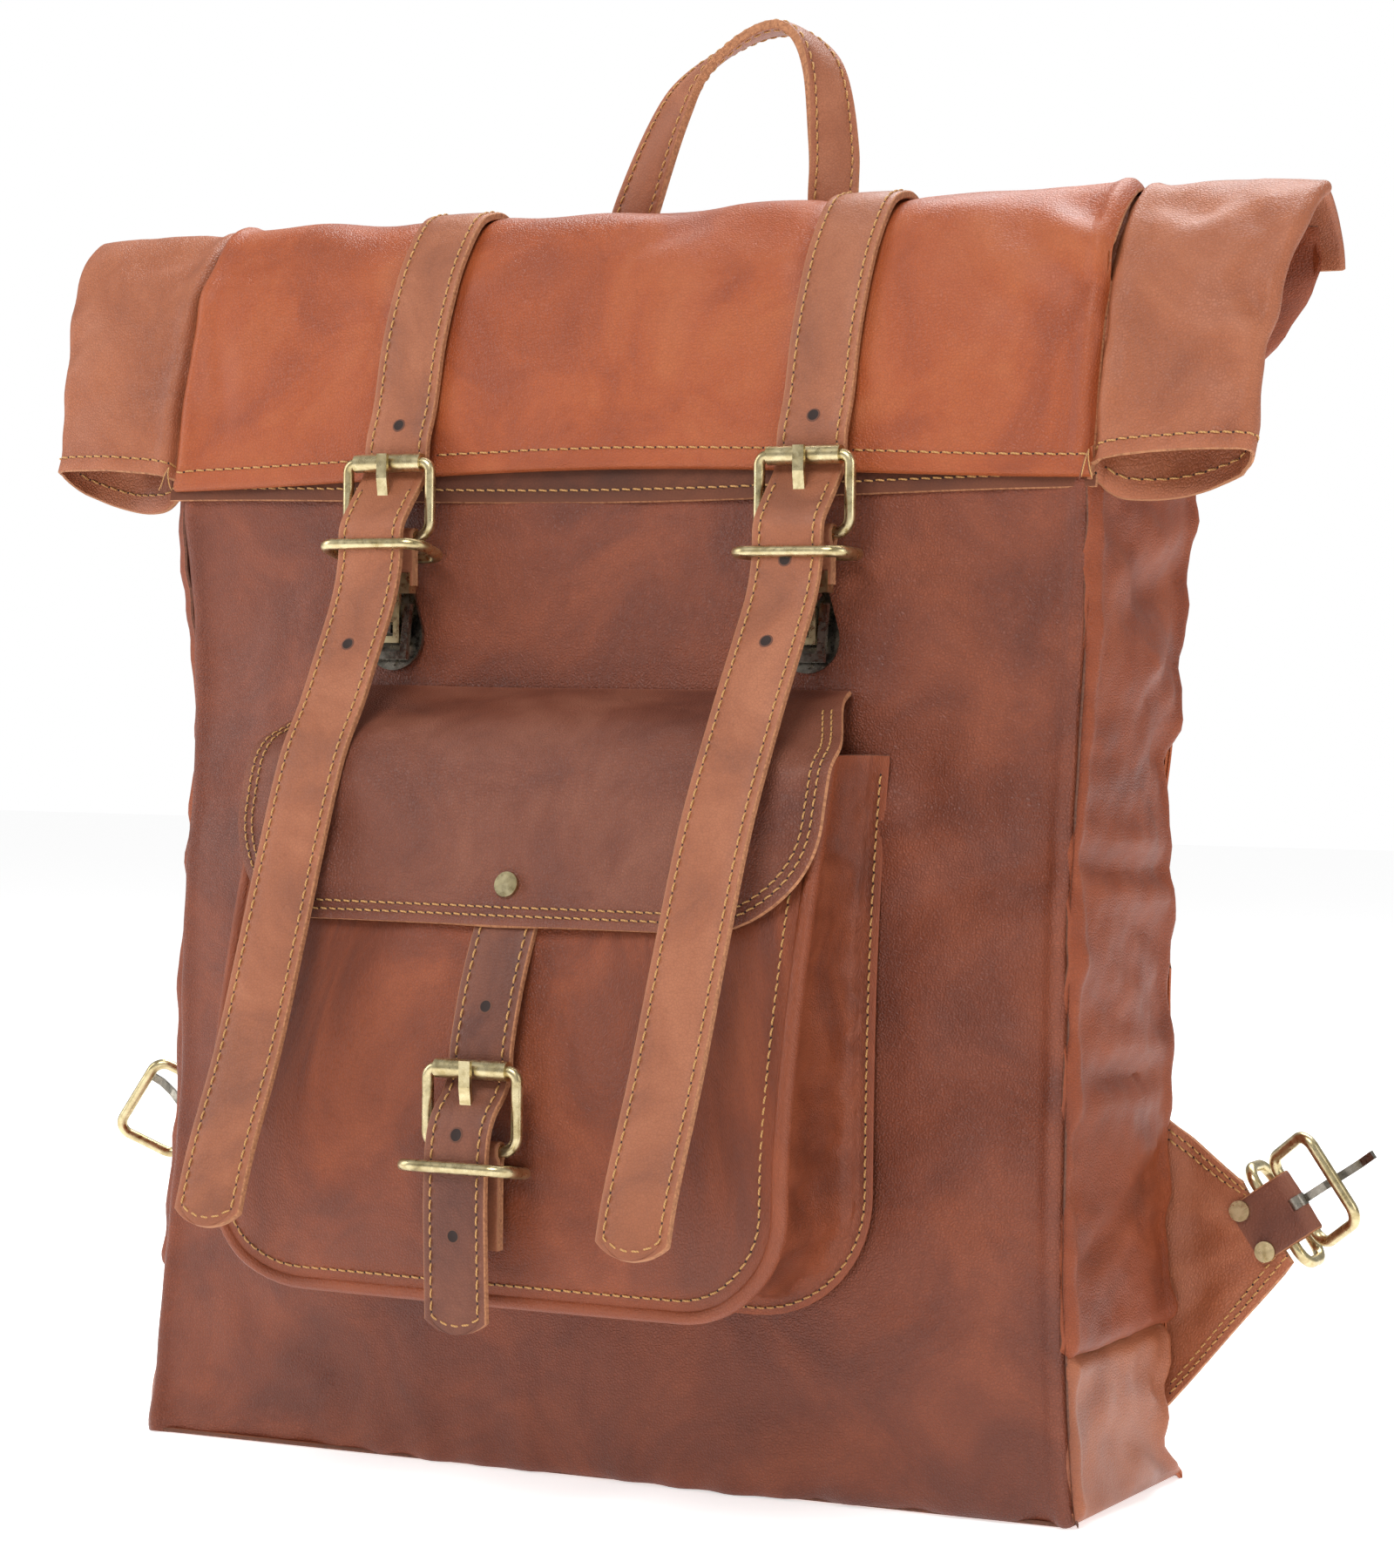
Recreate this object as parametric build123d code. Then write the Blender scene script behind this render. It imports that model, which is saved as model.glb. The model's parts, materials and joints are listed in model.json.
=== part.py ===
from build123d import *
import math
import os

# Leather roll-top backpack.  Millimetres, +Z up, the front faces -Y, +X is on the
# viewer's right.  The origin is on the floor under the middle of the bag.
# Profiles are lists of (y, z) points; a bent sheet is such a profile, made thick
# and given a width along X.

# ---------------------------------------------------------------- driving sizes
bag_width = 400.0
bag_depth = 124.0
crest_height = 490.0
flap_drop = 100.0            # crest down to the flap's hem
riser_height = 64.0          # how far the base strip turns up at each side

panel_ply = 2.4
lining_ply = 0.8
flap_ply = 2.0
strap_ply = 3.2              # two plies of leather sewn together
seam_gap = 0.2               # between sewn neighbours
ply_gap = 0.6                # between layers that lie on each other
swing_gap = 0.9              # round a part that swings

front_belly = 70.0           # how far the front and back lean out, from the middle
front_knee = 46.0
lean_end = 90.0              # hem down to where the front starts leaning back
back_waist = 38.0
back_shoulder = 54.0
ridge_half = 27.0            # half the thickness of the folded top, where it starts
ridge_height = 34.0          # height of the folded top above its start
hinge_forward = 12.0         # roll-top hinge line, from the middle and below the crest
hinge_below_crest = 20.0
inner_hem_drop = 7.0         # how far the flap's inner ply hangs below the outer one
inner_inset = 3.0            # and how much narrower it is at each end
ear_inset = 4.0              # gusset's folded top, inside the flap's end
ear_low_depth = 76.0         # its depth where it starts and where it ends, front to back
ear_high_depth = 9.0
ear_shift = 2.0              # its middle, off the bag's middle
ear_start = 6.0              # below the hem, and its end below the crest
ear_end = 21.0

strap_width = 28.5
strap_spacing = 181.0        # between the two front straps
hole_d = 4.5
hole_pitch = 27.0
tail_length = 258.0          # strap end below the keeper ring
tail_lean = 36.0             # degrees forward of straight down, where a tail starts
tail_straighten = 13.5       # degrees a tail straightens towards its tip
tip_r = 20.0                 # rounding of a strap's tip, and how deep it cuts
tip_depth = 7.0

wire_d = 4.4                 # buckle frames and keeper rings
buckle_rise = 29.0           # between a frame's two bars
roller_corner = 3.6
frame_corner = 6.0
frame_clear = 2.3            # strap edge to frame
pin_gap = 0.1                # running clearance on a bar
roller_wall = 1.3
roller_gap = 0.7             # strap to roller
prong_width = 4.6
prong_ply = 1.6
buckle_below_hem = 28.0      # hem down to a front buckle's lower bar
buckle_standoff = 62.0       # front buckle's lower bar, from the middle
ring_drop = 8.0              # keeper ring below the lower bar
ring_room = 1.8              # strap to a keeper ring's front bar
ring_corner = 7.0
ring_play = 3.0              # how much wider a front keeper ring is than its frame
tunnel_out = 4.4             # shoulder ring's bar, out from the patch's edge
rivet_in = 5.8               # rivets, in from that edge, and their spacing
rivet_spacing = 18.0
rivet_shank_r = 1.6
rivet_hole_r = 1.8
ring_droop = {"left": 14.0, "right": 2.0}      # degrees below level
pocket_ring_droop = 8.0

lock_below_hem = 64.0        # hem down to the middle of a lock plate
lock_low_r = 12.5            # the plate's two round ends, and their middles
lock_high_r = 7.5
lock_low_z = -4.0
lock_high_z = 11.0
lock_rivets = (14.5, -13.0)
lock_rivet_r = 2.0
lock_rivet_head = 0.9
lock_bridge = 6.0
lock_ply = 1.5
lock_window = 5.4            # square hole in the tongue, for the lever's nub
lever_top = 9.0              # lever's pivot above the lock's middle
lever_low = 13.0             # lever's end below it
lever_bar = 3.0
lever_standoff = 4.2         # lever's back to the plate
lever_ply = 2.4
tongue_width = 11.0
tab_length = 19.0            # front buckle's tab, from the bar to its clamped end
clamp_length = 8.0
clamp_wall = 1.0

pocket_width = 236.0
pocket_bottom = 81.0
pocket_height = 199.0
pocket_top_out = 104.0       # pocket front, from the middle, at its top and lower down
pocket_low_out = 141.0
pocket_corner = 38.0
pocket_ply = 2.2
pocket_flap_width = 248.0
pocket_flap_root = 300.0
pocket_hinge_gap = 4.4       # flap's hinge line in front of the bag's face
pocket_flap_hem = 217.0
pocket_flap_corner = 42.0
pocket_strap_x = 2.5
pocket_strap_end = 70.0
pocket_buckle_z = 136.0
pocket_buckle_stand = 10.0   # lower bar in front of the pocket's face
stud_z = 231.0
stud_d = 9.5
stud_head = 1.6
stud_shank_r = 1.6
snap_d = 14.0
snap_z = 112.0
snap_stack = 4.2             # socket's depth in front of the pocket

handle_x = 8.0
handle_span = 96.0           # between the middles of the two legs
handle_width = 20.0
handle_rise = 78.0           # top of the handle above the crest
handle_tab = 34.0            # sewn length of each end

shoulder_x = 95.0
shoulder_width = 44.0
shoulder_end = 72.0
shoulder_ply = 5.0
shoulder_drop = 42.0         # strap's root below the crest, and behind the middle
shoulder_out = 46.0
shoulder_taper = 208.0       # root down to where the strap narrows
shoulder_holes = 4
shoulder_first_hole = 30.0   # up from the strap's end

anchor_top = 142.0           # sewn edge of the lower corner patch
anchor_bottom = 29.0
anchor_reach = 38.6          # seam out to the middle of the patch's outer edge
anchor_mid_z = 104.0
anchor_edge = 36.0           # length of that outer edge
anchor_angle = 35.0          # degrees that it points above level
anchor_ply = 2.0
chape_reach = 14.4           # outer edge out to the shoulder buckle's bar
shoulder_frame_tilt = 37.0
rivet_d = 8.0
rivet_head = 1.2
beyond = 400.0               # longer than any cut needs to be

# ------------------------------------------------------------- sizes that follow
half_width = bag_width / 2
half_depth = bag_depth / 2
flap_half_width = half_width + half_depth      # the bag's mouth, pressed flat
hem_z = crest_height - flap_drop
ridge_z = crest_height - ridge_height
wire_r = wire_d / 2
bore_r = wire_r + pin_gap
roller_r = bore_r + roller_wall
frame_width = strap_width + 2 * frame_clear + wire_d    # between bar centres
tab_width = frame_width - 2 * frame_corner - 0.4        # on the bar's straight stretch
strap_x = strap_spacing / 2
buckle_z = hem_z - buckle_below_hem
strap_front = bore_r + prong_ply + strap_ply / 2 + 4.7  # strap's middle before a lower bar
ring_back = strap_ply / 2 + swing_gap + wire_r
ring_depth = ring_back + strap_front + strap_ply / 2 + ring_room + wire_r
tail_pivot = (-strap_front - 1.2, -ring_drop - 11.0)    # from a lower bar's centre
hinge_yz = (-hinge_forward, crest_height - hinge_below_crest)
shoulder_hinge_yz = (shoulder_out, crest_height - shoulder_drop)
lock_height = hem_z - lock_below_hem
handle_top = crest_height + handle_rise
pocket_buckle_out = pocket_low_out + pocket_buckle_stand
prong_slot_width = prong_width + 2 * swing_gap
prong_eye_slot = prong_width + 1.4


# -------------------------------------------------------------------- 2-D helpers
def offset_path(points, distance):
    """Move an open path sideways, to its right, with mitred corners."""
    normals = []
    for (y0, z0), (y1, z1) in zip(points, points[1:]):
        length = math.hypot(y1 - y0, z1 - z0)
        normals.append(((z1 - z0) / length, -(y1 - y0) / length))
    moved = []
    for i, (y, z) in enumerate(points):
        before = normals[max(i - 1, 0)]
        after = normals[min(i, len(normals) - 1)]
        ny, nz = before[0] + after[0], before[1] + after[1]
        scale = 2 * distance / (ny * ny + nz * nz)
        moved.append((y + ny * scale, z + nz * scale))
    return moved


def height_on(points, z):
    """The y of a rising path at height z."""
    for (y0, z0), (y1, z1) in zip(points, points[1:]):
        if min(z0, z1) <= z <= max(z0, z1):
            return y0 + (y1 - y0) * (z - z0) / (z1 - z0)
    return points[0][0] if z < min(points[0][1], points[-1][1]) else points[-1][0]


def prism(outline, width, x=0.0):
    """A solid with the (y, z) outline, width wide along X about x."""
    face = Plane.YZ * make_face(Polyline(*outline, close=True))
    return Pos(x, 0, 0) * extrude(face, width / 2, both=True)


def bent_sheet(points, ply, width, x=0.0):
    """Sheet whose outer face follows the path, with its thickness on the right."""
    return prism(points + offset_path(points, ply)[::-1], width, x)


def strap(points, ply, width, x=0.0):
    """Strap whose middle follows the path."""
    return bent_sheet(offset_path(points, -ply / 2), ply, width, x)


def rod_x(y, z, radius, length, x=0.0):
    return Location((x, y, z), (0, 90, 0)) * Cylinder(radius, length)


def rod_y(x, y, z, radius, length):
    return Location((x, y, z), (90, 0, 0)) * Cylinder(radius, length)


def front_cut(outline_sketch, depth=400.0):
    """An (x, z) outline, made deep along Y both ways."""
    return extrude(Plane.XZ * outline_sketch, depth, both=True)


def turned_point(y, z, angle, length):
    """From (y, z), length away at an angle forward of straight down."""
    a = math.radians(angle)
    return (y - length * math.sin(a), z - length * math.cos(a))


def wire_loop(width, depth, top_corner, low_corner):
    """Round wire bent to a rectangle in XZ, from z = 0 up to depth."""
    outline = Pos(0, depth / 2) * Rectangle(width, depth)
    outline = fillet(outline.vertices().group_by(Axis.Y)[-1], top_corner)
    outline = fillet(outline.vertices().group_by(Axis.Y)[0], low_corner)
    path = (Plane.XZ * outline).wire()
    start = Plane(origin=path @ 0, z_dir=path % 0)
    return sweep(start * Circle(wire_r), path=path)


# ---------------------------------------------------------------- shared profiles
flap_face = [(-52.0, hem_z), (-47.0, hem_z + 24), (-41.0, hem_z + 48), (-31.5, ridge_z + 5)]
ridge_face = [(-30.7, ridge_z + 6.8), (-19.5, crest_height - 10), (-4.0, crest_height),
              (8.0, crest_height - 2), (18.0, crest_height - 16), (ridge_half - 0.5, ridge_z + 1.2)]
covered = offset_path(flap_face, 2 * flap_ply + 2 * ply_gap + swing_gap)
front_low = [(-half_depth, 0.0), (-front_belly + 1.5, 60.0), (-front_belly, 120.0),
             (-front_belly, 190.0), (-front_belly + 6, 250.0), (-front_belly + 12, hem_z - lean_end)]
front_face = front_low + [(-front_knee, hem_z - 8)] + covered[1:-1] + [covered[-1]]
back_face = [(half_depth, 0.0), (back_waist + 12, 16.0), (back_waist + 4, 42.0),
             (back_waist, 90.0), (back_waist, 190.0), (back_waist, 280.0),
             (back_waist + 8, hem_z - 50), (back_shoulder, hem_z - 10),
             (ridge_half + 7, ridge_z - 16), (ridge_half - 1, ridge_z - seam_gap)]
front_inside = offset_path(front_face, panel_ply + seam_gap)
back_inside = offset_path(back_face, -panel_ply - seam_gap)
pocket_top = pocket_bottom + pocket_height
pocket_hinge_yz = (height_on(front_face, pocket_flap_root) - pocket_hinge_gap, pocket_flap_root)
pocket_face = [(-pocket_low_out + 2, pocket_bottom), (-pocket_low_out, pocket_bottom + 29),
               (-pocket_low_out + 2, pocket_bottom + 68), (-pocket_top_out - 22, pocket_top - 71),
               (-pocket_top_out, pocket_top)]


# ------------------------------------------------------------------- bag's panels
def front_panel():
    return bent_sheet(front_face, panel_ply, bag_width)


def back_panel():
    return bent_sheet(back_face[::-1], panel_ply, bag_width)


def side_outline(low, high):
    """Outline between the two panels from height low up to high."""
    front = [(height_on(front_inside, low), low)]
    front += [p for p in front_inside if low < p[1] < high] + [(height_on(front_inside, high), high)]
    back = [(height_on(back_inside, low), low)]
    back += [p for p in back_inside if low < p[1] < high] + [(height_on(back_inside, high), high)]
    return front + back[::-1]


def gusset(side):
    """Flat side strip, and its top where it folds out into the flap's ear."""
    x = half_width - panel_ply / 2
    wall = prism(side_outline(riser_height + seam_gap, ridge_z - 6), panel_ply, x)
    low_z, high_z = hem_z - ear_start, crest_height - ear_end
    inner_x, outer_x = half_width - panel_ply, flap_half_width - ear_inset
    low = Pos(x, ear_shift, low_z) * Rectangle(panel_ply, ear_low_depth)
    high = Pos((inner_x + outer_x) / 2, -ear_shift, high_z) * Rectangle(outer_x - inner_x, ear_high_depth)
    ear = loft([low.face(), high.face()])
    return mirrored(wall + ear, side)


def mirrored(shape, side):
    return shape if side == "right" else mirror(shape, about=Plane.YZ)


def base_strip():
    """Bottom and its two turned-up ends, one strip of leather."""
    inset = panel_ply + seam_gap
    bottom = Pos(0, 0, panel_ply / 2) * Box(bag_width, 2 * (half_depth - 2 * inset), panel_ply)
    outline = side_outline(panel_ply, riser_height)
    riser = prism(outline, panel_ply, half_width - panel_ply / 2)
    return bottom + riser + mirror(riser, about=Plane.YZ)


def lining():
    """Open cloth bag just inside the leather."""
    low, high = panel_ply + ply_gap, ridge_z - 36
    outline = side_outline(low, high)
    count = len(outline) // 2
    outer = offset_path(outline[:count], ply_gap) + offset_path(outline[count:], ply_gap)
    inner = offset_path(outline[:count], ply_gap + lining_ply)
    inner += offset_path(outline[count:], ply_gap + lining_ply)
    width = bag_width - 2 * (panel_ply + ply_gap)
    shell = prism(outer, width) - prism(inner, width - 2 * lining_ply)
    return shell + Pos(0, 0, low + lining_ply / 2) * Box(width, bag_depth - 40, lining_ply)


def rolltop_fold():
    """The folded crest; this leather bends when the bag is opened."""
    return bent_sheet(ridge_face, 2 * flap_ply + ply_gap, 2 * flap_half_width)


def flap_outer_ply():
    return bent_sheet(flap_face, flap_ply, 2 * flap_half_width)


def flap_inner_ply():
    face = [(flap_face[0][0], hem_z - inner_hem_drop)] + flap_face[1:]
    width = 2 * (flap_half_width - inner_inset)
    return bent_sheet(offset_path(face, flap_ply + ply_gap), flap_ply, width)


# ------------------------------------------------- buckle pieces, about a lower bar
# Local frame: the origin is the middle of the frame's lower bar, z runs to the
# roller, and -y comes out towards the viewer.
def buckle_frame():
    return wire_loop(frame_width, buckle_rise, roller_corner, frame_corner)


def roller():
    length = frame_width - 2 * roller_corner - 2 * pin_gap
    return rod_x(0, buckle_rise, roller_r, length) - rod_x(0, buckle_rise, bore_r, length + 2)


prong_face = roller_r + roller_gap + prong_ply / 2 + 0.1
prong_path = [(-3.0, 1.6), (-3.4, 12.0), (-prong_face, 23.0), (-prong_face, buckle_rise + 3.5)]


def prong():
    """Flat pin: an eye round the lower bar and a shank that ends on the roller."""
    shank = strap(prong_path, prong_ply, prong_width)
    eye = rod_x(0, 0, bore_r + prong_ply, prong_width)
    return shank + eye - rod_x(0, 0, bore_r, prong_width + 2)


def tab(length):
    """Leather folded round the lower bar, with a slot for the prong's eye."""
    eye = rod_x(0, 0, bore_r + strap_ply / 2, tab_width)
    body = eye + Pos(0, 0, -length / 2) * Box(tab_width, strap_ply, length)
    slot = Pos(0, 0, 2) * Box(prong_eye_slot, 16, 16)
    return body - rod_x(0, 0, bore_r, strap_width + 2) - slot


def keeper_ring(droop):
    """Wire loop round the tab and the strap; its back bar is at y = 0, z = 0."""
    loop = wire_loop(frame_width + wire_d + ring_play, ring_depth, ring_corner, ring_corner)
    return Location((0, 0, 0), (90 - droop, 0, 0)) * mirror(loop, about=Plane.XY).moved(
        Location((0, 0, 0), (180, 0, 0)))


behind_roller = roller_r + roller_gap + strap_ply / 2
threaded_path = [(behind_roller, buckle_rise + 5), (behind_roller, buckle_rise - 1), (1.5, 20.0), (-6.0, 13.0),
                 (-strap_front, 3.0), (tail_pivot[0], tail_pivot[1] + strap_ply / 2 + 2 * swing_gap)]


def prong_slot():
    return Pos(0, -3, 15.5) * Box(prong_slot_width, 14, 15)


def at_bar(shape, x, y, z):
    return Pos(x, y, z) * shape


# ----------------------------------------------------------------- front straps
def front_strap(side):
    """From the crest down the flap, behind the roller and through the frame."""
    on_flap = offset_path(flap_face, -(ply_gap + strap_ply / 2))
    lower = [(y - buckle_standoff, z + buckle_z) for y, z in threaded_path]
    path = lower[::-1] + on_flap[1:]
    body = strap(path, strap_ply, strap_width)
    body -= at_bar(prong_slot(), 0, -buckle_standoff, buckle_z)
    body -= rod_y(0, flap_face[0][0], hem_z + hole_pitch, hole_d / 2, 30)
    return Pos(side_sign(side) * strap_x, 0, 0) * body


def side_sign(side):
    return 1 if side == "right" else -1


def strap_fold(side):
    """The strap's bend over the crest, and its end sewn down the back."""
    down = [(ridge_half, ridge_z), (ridge_half + 7, ridge_z - 16), (back_shoulder, hem_z - 10)]
    path = offset_path(ridge_face + down[1:], -(ply_gap + strap_ply / 2))
    return Pos(side_sign(side) * strap_x, 0, 0) * strap(path, strap_ply, strap_width)


def tail_path(y, z):
    """A tail's middle, from its bend at the keeper ring to its tip."""
    path, angle = [(y, z)], tail_lean
    for step in (0.18, 0.23, 0.19, 0.40):
        path.append(turned_point(*path[-1], angle, step * tail_length))
        angle = max(angle - tail_straighten / 2, tail_lean - tail_straighten)
    return path


def strap_tail(side):
    y, z = tail_pivot[0] - buckle_standoff, tail_pivot[1] + buckle_z
    path = tail_path(y, z)
    body = strap(path, strap_ply, strap_width) + rod_x(y, z, strap_ply / 2, strap_width)
    hole_y, hole_z = turned_point(y, z, tail_lean, hole_pitch)
    body -= Location((0, hole_y, hole_z), (90 - tail_lean, 0, 0)) * Cylinder(hole_d / 2, 20)
    tip_z = path[-1][1]
    end = Pos(0, tip_z - 1) * Rectangle(strap_width * 2, 2 * tip_depth)
    rounded = front_cut(end - Pos(0, tip_z + tip_r) * Circle(tip_r))
    return Pos(side_sign(side) * strap_x, 0, 0) * (body - rounded)


def tab_clamp(side):
    """Folded metal end on the tab, with the tongue that goes into the lock."""
    z = buckle_z - tab_length
    body = Pos(0, -buckle_standoff, z + 1) * Box(tab_width - 3, strap_ply + 2 * clamp_wall, clamp_length)
    body -= Pos(0, -buckle_standoff, z + 3) * Box(tab_width, strap_ply + 0.05, 6)
    low, high = lock_height - lock_window, z - 2
    blade = Pos(0, -buckle_standoff, (low + high) / 2) * Box(tongue_width, lock_ply, high - low)
    blade -= Pos(0, -buckle_standoff, lock_height) * Box(lock_window, 4, lock_window)
    return Pos(side_sign(side) * strap_x, 0, 0) * (body + blade)


# ------------------------------------------------------------------- strap locks
lock_span = [point for point in front_face if point[1] >= front_low[-1][1]][:2]
lock_lean = math.degrees(math.atan2(lock_span[1][0] - lock_span[0][0], lock_span[1][1] - lock_span[0][1]))


def on_front(z, side):
    """Place on the front panel's outer face at height z."""
    x = side_sign(side) * strap_x
    return Location((x, height_on(front_face, z), z), (-lock_lean, 0, 0))


def lock_plate(side):
    """Pear-shaped plate with a low rim and two rivets."""
    low = Pos(0, lock_low_z) * Circle(lock_low_r)
    high = Pos(0, lock_high_z) * Circle(lock_high_r)
    outline = make_hull((low + high).edges())
    plate = extrude(Plane.XZ * outline, lock_ply)
    for z in lock_rivets:
        plate += rod_y(0, -lock_ply - 0.4, z, lock_rivet_r, lock_rivet_head)
    return on_front(lock_height, side) * Pos(0, -ply_gap, 0) * plate


def lock_lever(side):
    """U-shaped sprung lever round the tongue; its nub holds the tongue's window."""
    gap = tongue_width + 2 * swing_gap
    height = lever_top + lever_low
    outer = Pos(0, (lever_top - lever_low) / 2) * Rectangle(gap + 2 * lever_bar, height)
    inner = Pos(0, lever_bar + (lever_top - lever_low) / 2) * Rectangle(gap, height)
    arms = extrude(Plane.XZ * (outer - inner), lever_ply)
    bridge = Pos(0, 0.7, 0) * Box(gap + 2, 1.6, lock_bridge)
    reach = 1.2
    drop = (lock_ply + lever_standoff + reach) * math.sin(math.radians(lock_lean))
    nub = Pos(0, -reach, -drop) * Box(lock_window - 2, 3.4, lock_window - 2)
    return lever_place(side) * (arms + bridge + nub)


def lever_place(side):
    return on_front(lock_height, side) * Pos(0, -lock_ply - lever_standoff, 0)


# ------------------------------------------------------------------------ pocket
def pocket_outline(inset):
    width, height = pocket_width - 2 * inset, pocket_height - inset
    outline = Pos(0, pocket_bottom + inset + height / 2) * Rectangle(width, height)
    return fillet(outline.vertices().group_by(Axis.Y)[0], pocket_corner - inset)


def pocket_front():
    """Front of the pocket, rounded at its lower corners."""
    sheet = bent_sheet(pocket_face, pocket_ply, pocket_width + 4)
    return sheet & front_cut(pocket_outline(0))


def pocket_gusset():
    """U-shaped wall that holds the pocket's front off the bag."""
    front = offset_path(pocket_face, pocket_ply + seam_gap)
    back = offset_path(front_face, -seam_gap)
    low, high = pocket_bottom - 6, pocket_top
    near = [(front[0][0], low)] + front + [(front[-1][0], high)]
    far = [(height_on(back, low), low)] + [p for p in back if low < p[1] < high]
    far += [(height_on(back, high), high)]
    ring = front_cut(pocket_outline(0)) - front_cut(pocket_outline(pocket_ply))
    cut = Pos(0, 0, pocket_top + 30) * Box(pocket_width - 2 * pocket_ply, beyond, 60)
    return (prism(near + far[::-1], pocket_width + 4) & ring) - cut


pocket_stack = ply_gap + strap_ply + ply_gap
pocket_flap_face = offset_path(pocket_face, -(pocket_stack + panel_ply))


def pocket_flap_path():
    """Outer face of the pocket's flap, from its hem up to its sewn edge."""
    hem = (height_on(pocket_flap_face, pocket_flap_hem), pocket_flap_hem)
    knee = (height_on(pocket_flap_face, pocket_top - 8) - 1, pocket_top - 4)
    brow = (-pocket_top_out + 2, pocket_top + 9)
    root = (pocket_hinge_yz[0], pocket_flap_root + panel_ply / 2)
    return [hem, knee, brow, root]


def pocket_flap():
    sheet = bent_sheet(pocket_flap_path(), panel_ply, pocket_flap_width)
    height = pocket_flap_root + 20 - pocket_flap_hem + 2
    outline = Pos(0, pocket_flap_hem - 2 + height / 2) * Rectangle(pocket_flap_width, height)
    outline = fillet(outline.vertices().group_by(Axis.Y)[0], pocket_flap_corner)
    root = rod_x(*pocket_hinge_yz, panel_ply / 2, pocket_flap_width)
    return (sheet & front_cut(outline)) + root - stud_hole()


def stud_place():
    """On the flap's outer face, square to it."""
    low, high = pocket_flap_path()[:2]
    lean = math.degrees(math.atan2(high[0] - low[0], high[1] - low[1]))
    y = height_on(pocket_flap_path(), stud_z)
    return Location((pocket_strap_x, y, stud_z), (-lean, 0, 0))


def stud_hole():
    return stud_place() * rod_y(0, 0, 0, stud_shank_r + swing_gap / 2, 30)


def pocket_strap():
    """Strap riveted under the flap, threaded and ending below the keeper ring."""
    under = offset_path(pocket_face, -(ply_gap + strap_ply / 2))
    top = (height_on(under, stud_z + 12), stud_z + 12)
    exit_point = (height_on(under, pocket_flap_hem - 6), pocket_flap_hem - 6)
    lower = [(y - pocket_buckle_out, z + pocket_buckle_z) for y, z in threaded_path]
    end = (lower[-1][0] + 2, pocket_strap_end)
    path = [end] + lower[::-1] + [exit_point, top]
    body = strap(path, strap_ply, strap_width)
    body -= at_bar(prong_slot(), 0, -pocket_buckle_out, pocket_buckle_z)
    body -= rod_y(0, end[0], pocket_buckle_z - ring_drop - 16, hole_d / 2, 30)
    return Pos(pocket_strap_x, 0, 0) * body - stud_hole()


def pocket_stud():
    """Domed rivet through the flap and the strap, with its washer underneath."""
    depth = panel_ply + ply_gap + strap_ply
    head = rod_y(0, -stud_head / 2 - 0.1, 0, stud_d / 2, stud_head)
    shank = rod_y(0, depth / 2 - 0.1, 0, stud_shank_r, depth)
    return stud_place() * (head + shank)


def snap_half(back, front):
    return rod_y(pocket_strap_x, (back + front) / 2, snap_z, snap_d / 2, abs(back - front))


def snap_socket():
    face = height_on(pocket_face, snap_z)
    return snap_half(face - seam_gap, face - snap_stack)


def snap_stud():
    back = -pocket_buckle_out + strap_ply / 2
    return snap_half(back, height_on(pocket_face, snap_z) - snap_stack - ply_gap)


# ------------------------------------------------------------------ carry handle
def handle_outline(low):
    outer_r = (handle_span + handle_width) / 2
    inner_r = outer_r - handle_width
    arc_z = handle_top - outer_r
    shape = Pos(handle_x, arc_z) * (Circle(outer_r) - Circle(inner_r))
    shape -= Pos(handle_x, arc_z - beyond / 2) * Rectangle(beyond, beyond)
    for sign in (-1, 1):
        leg = Rectangle(handle_width, arc_z - low + 1, align=(Align.CENTER, Align.MIN))
        shape += Pos(handle_x + sign * handle_span / 2, low) * leg
    return shape


handle_y = ridge_half + ply_gap + strap_ply / 2 + 1
handle_hinge_z = ridge_z - 1.0


def handle():
    """Loop of doubled leather that stands up behind the crest."""
    slab = extrude(Plane.XZ * handle_outline(handle_hinge_z), strap_ply / 2, both=True)
    body = Pos(0, handle_y, 0) * slab
    for sign in (-1, 1):
        x = handle_x + sign * handle_span / 2
        body += rod_x(handle_y, handle_hinge_z, strap_ply / 2, handle_width, x)
    return body


def handle_tabs():
    """The handle's two sewn ends on the back panel."""
    top = handle_hinge_z - strap_ply / 2 - swing_gap
    path = [(handle_y, top), (ridge_half + 7, ridge_z - 16), (back_shoulder, hem_z - 10)]
    face = offset_path(path, -(ply_gap + seam_gap))
    low = handle_hinge_z - handle_tab
    end = (height_on(face, low), low)
    face = [face[0], face[1], end]
    both = [bent_sheet(face, -strap_ply, handle_width, handle_x + sign * handle_span / 2)
            for sign in (-1, 1)]
    return Compound(children=both)


# -------------------------------------------------------------- shoulder straps
shoulder_drape = [(0, 0), (16, 24), (22, 64), (20, 120), (14, 200)]     # out and down


def shoulder_strap(side):
    y, z = shoulder_hinge_yz
    path = [(y + out, z - down) for out, down in shoulder_drape] + [(y + 10, shoulder_end)]
    body = strap(path, shoulder_ply, shoulder_width) + rod_x(y, z, shoulder_ply / 2, shoulder_width)
    wide = Pos(0, z - shoulder_taper / 2 + 6) * Rectangle(shoulder_width, shoulder_taper + 12)
    narrow = Pos(0, z - beyond / 2) * Rectangle(strap_width, beyond + 20)
    body = body & front_cut(wide + narrow)
    for step in range(shoulder_holes):
        hole_z = shoulder_end + shoulder_first_hole + step * hole_pitch
        body -= rod_y(0, y + 10, hole_z, hole_d / 2, 60)
    return Pos(side_sign(side) * shoulder_x, 0, 0) * body


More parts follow.
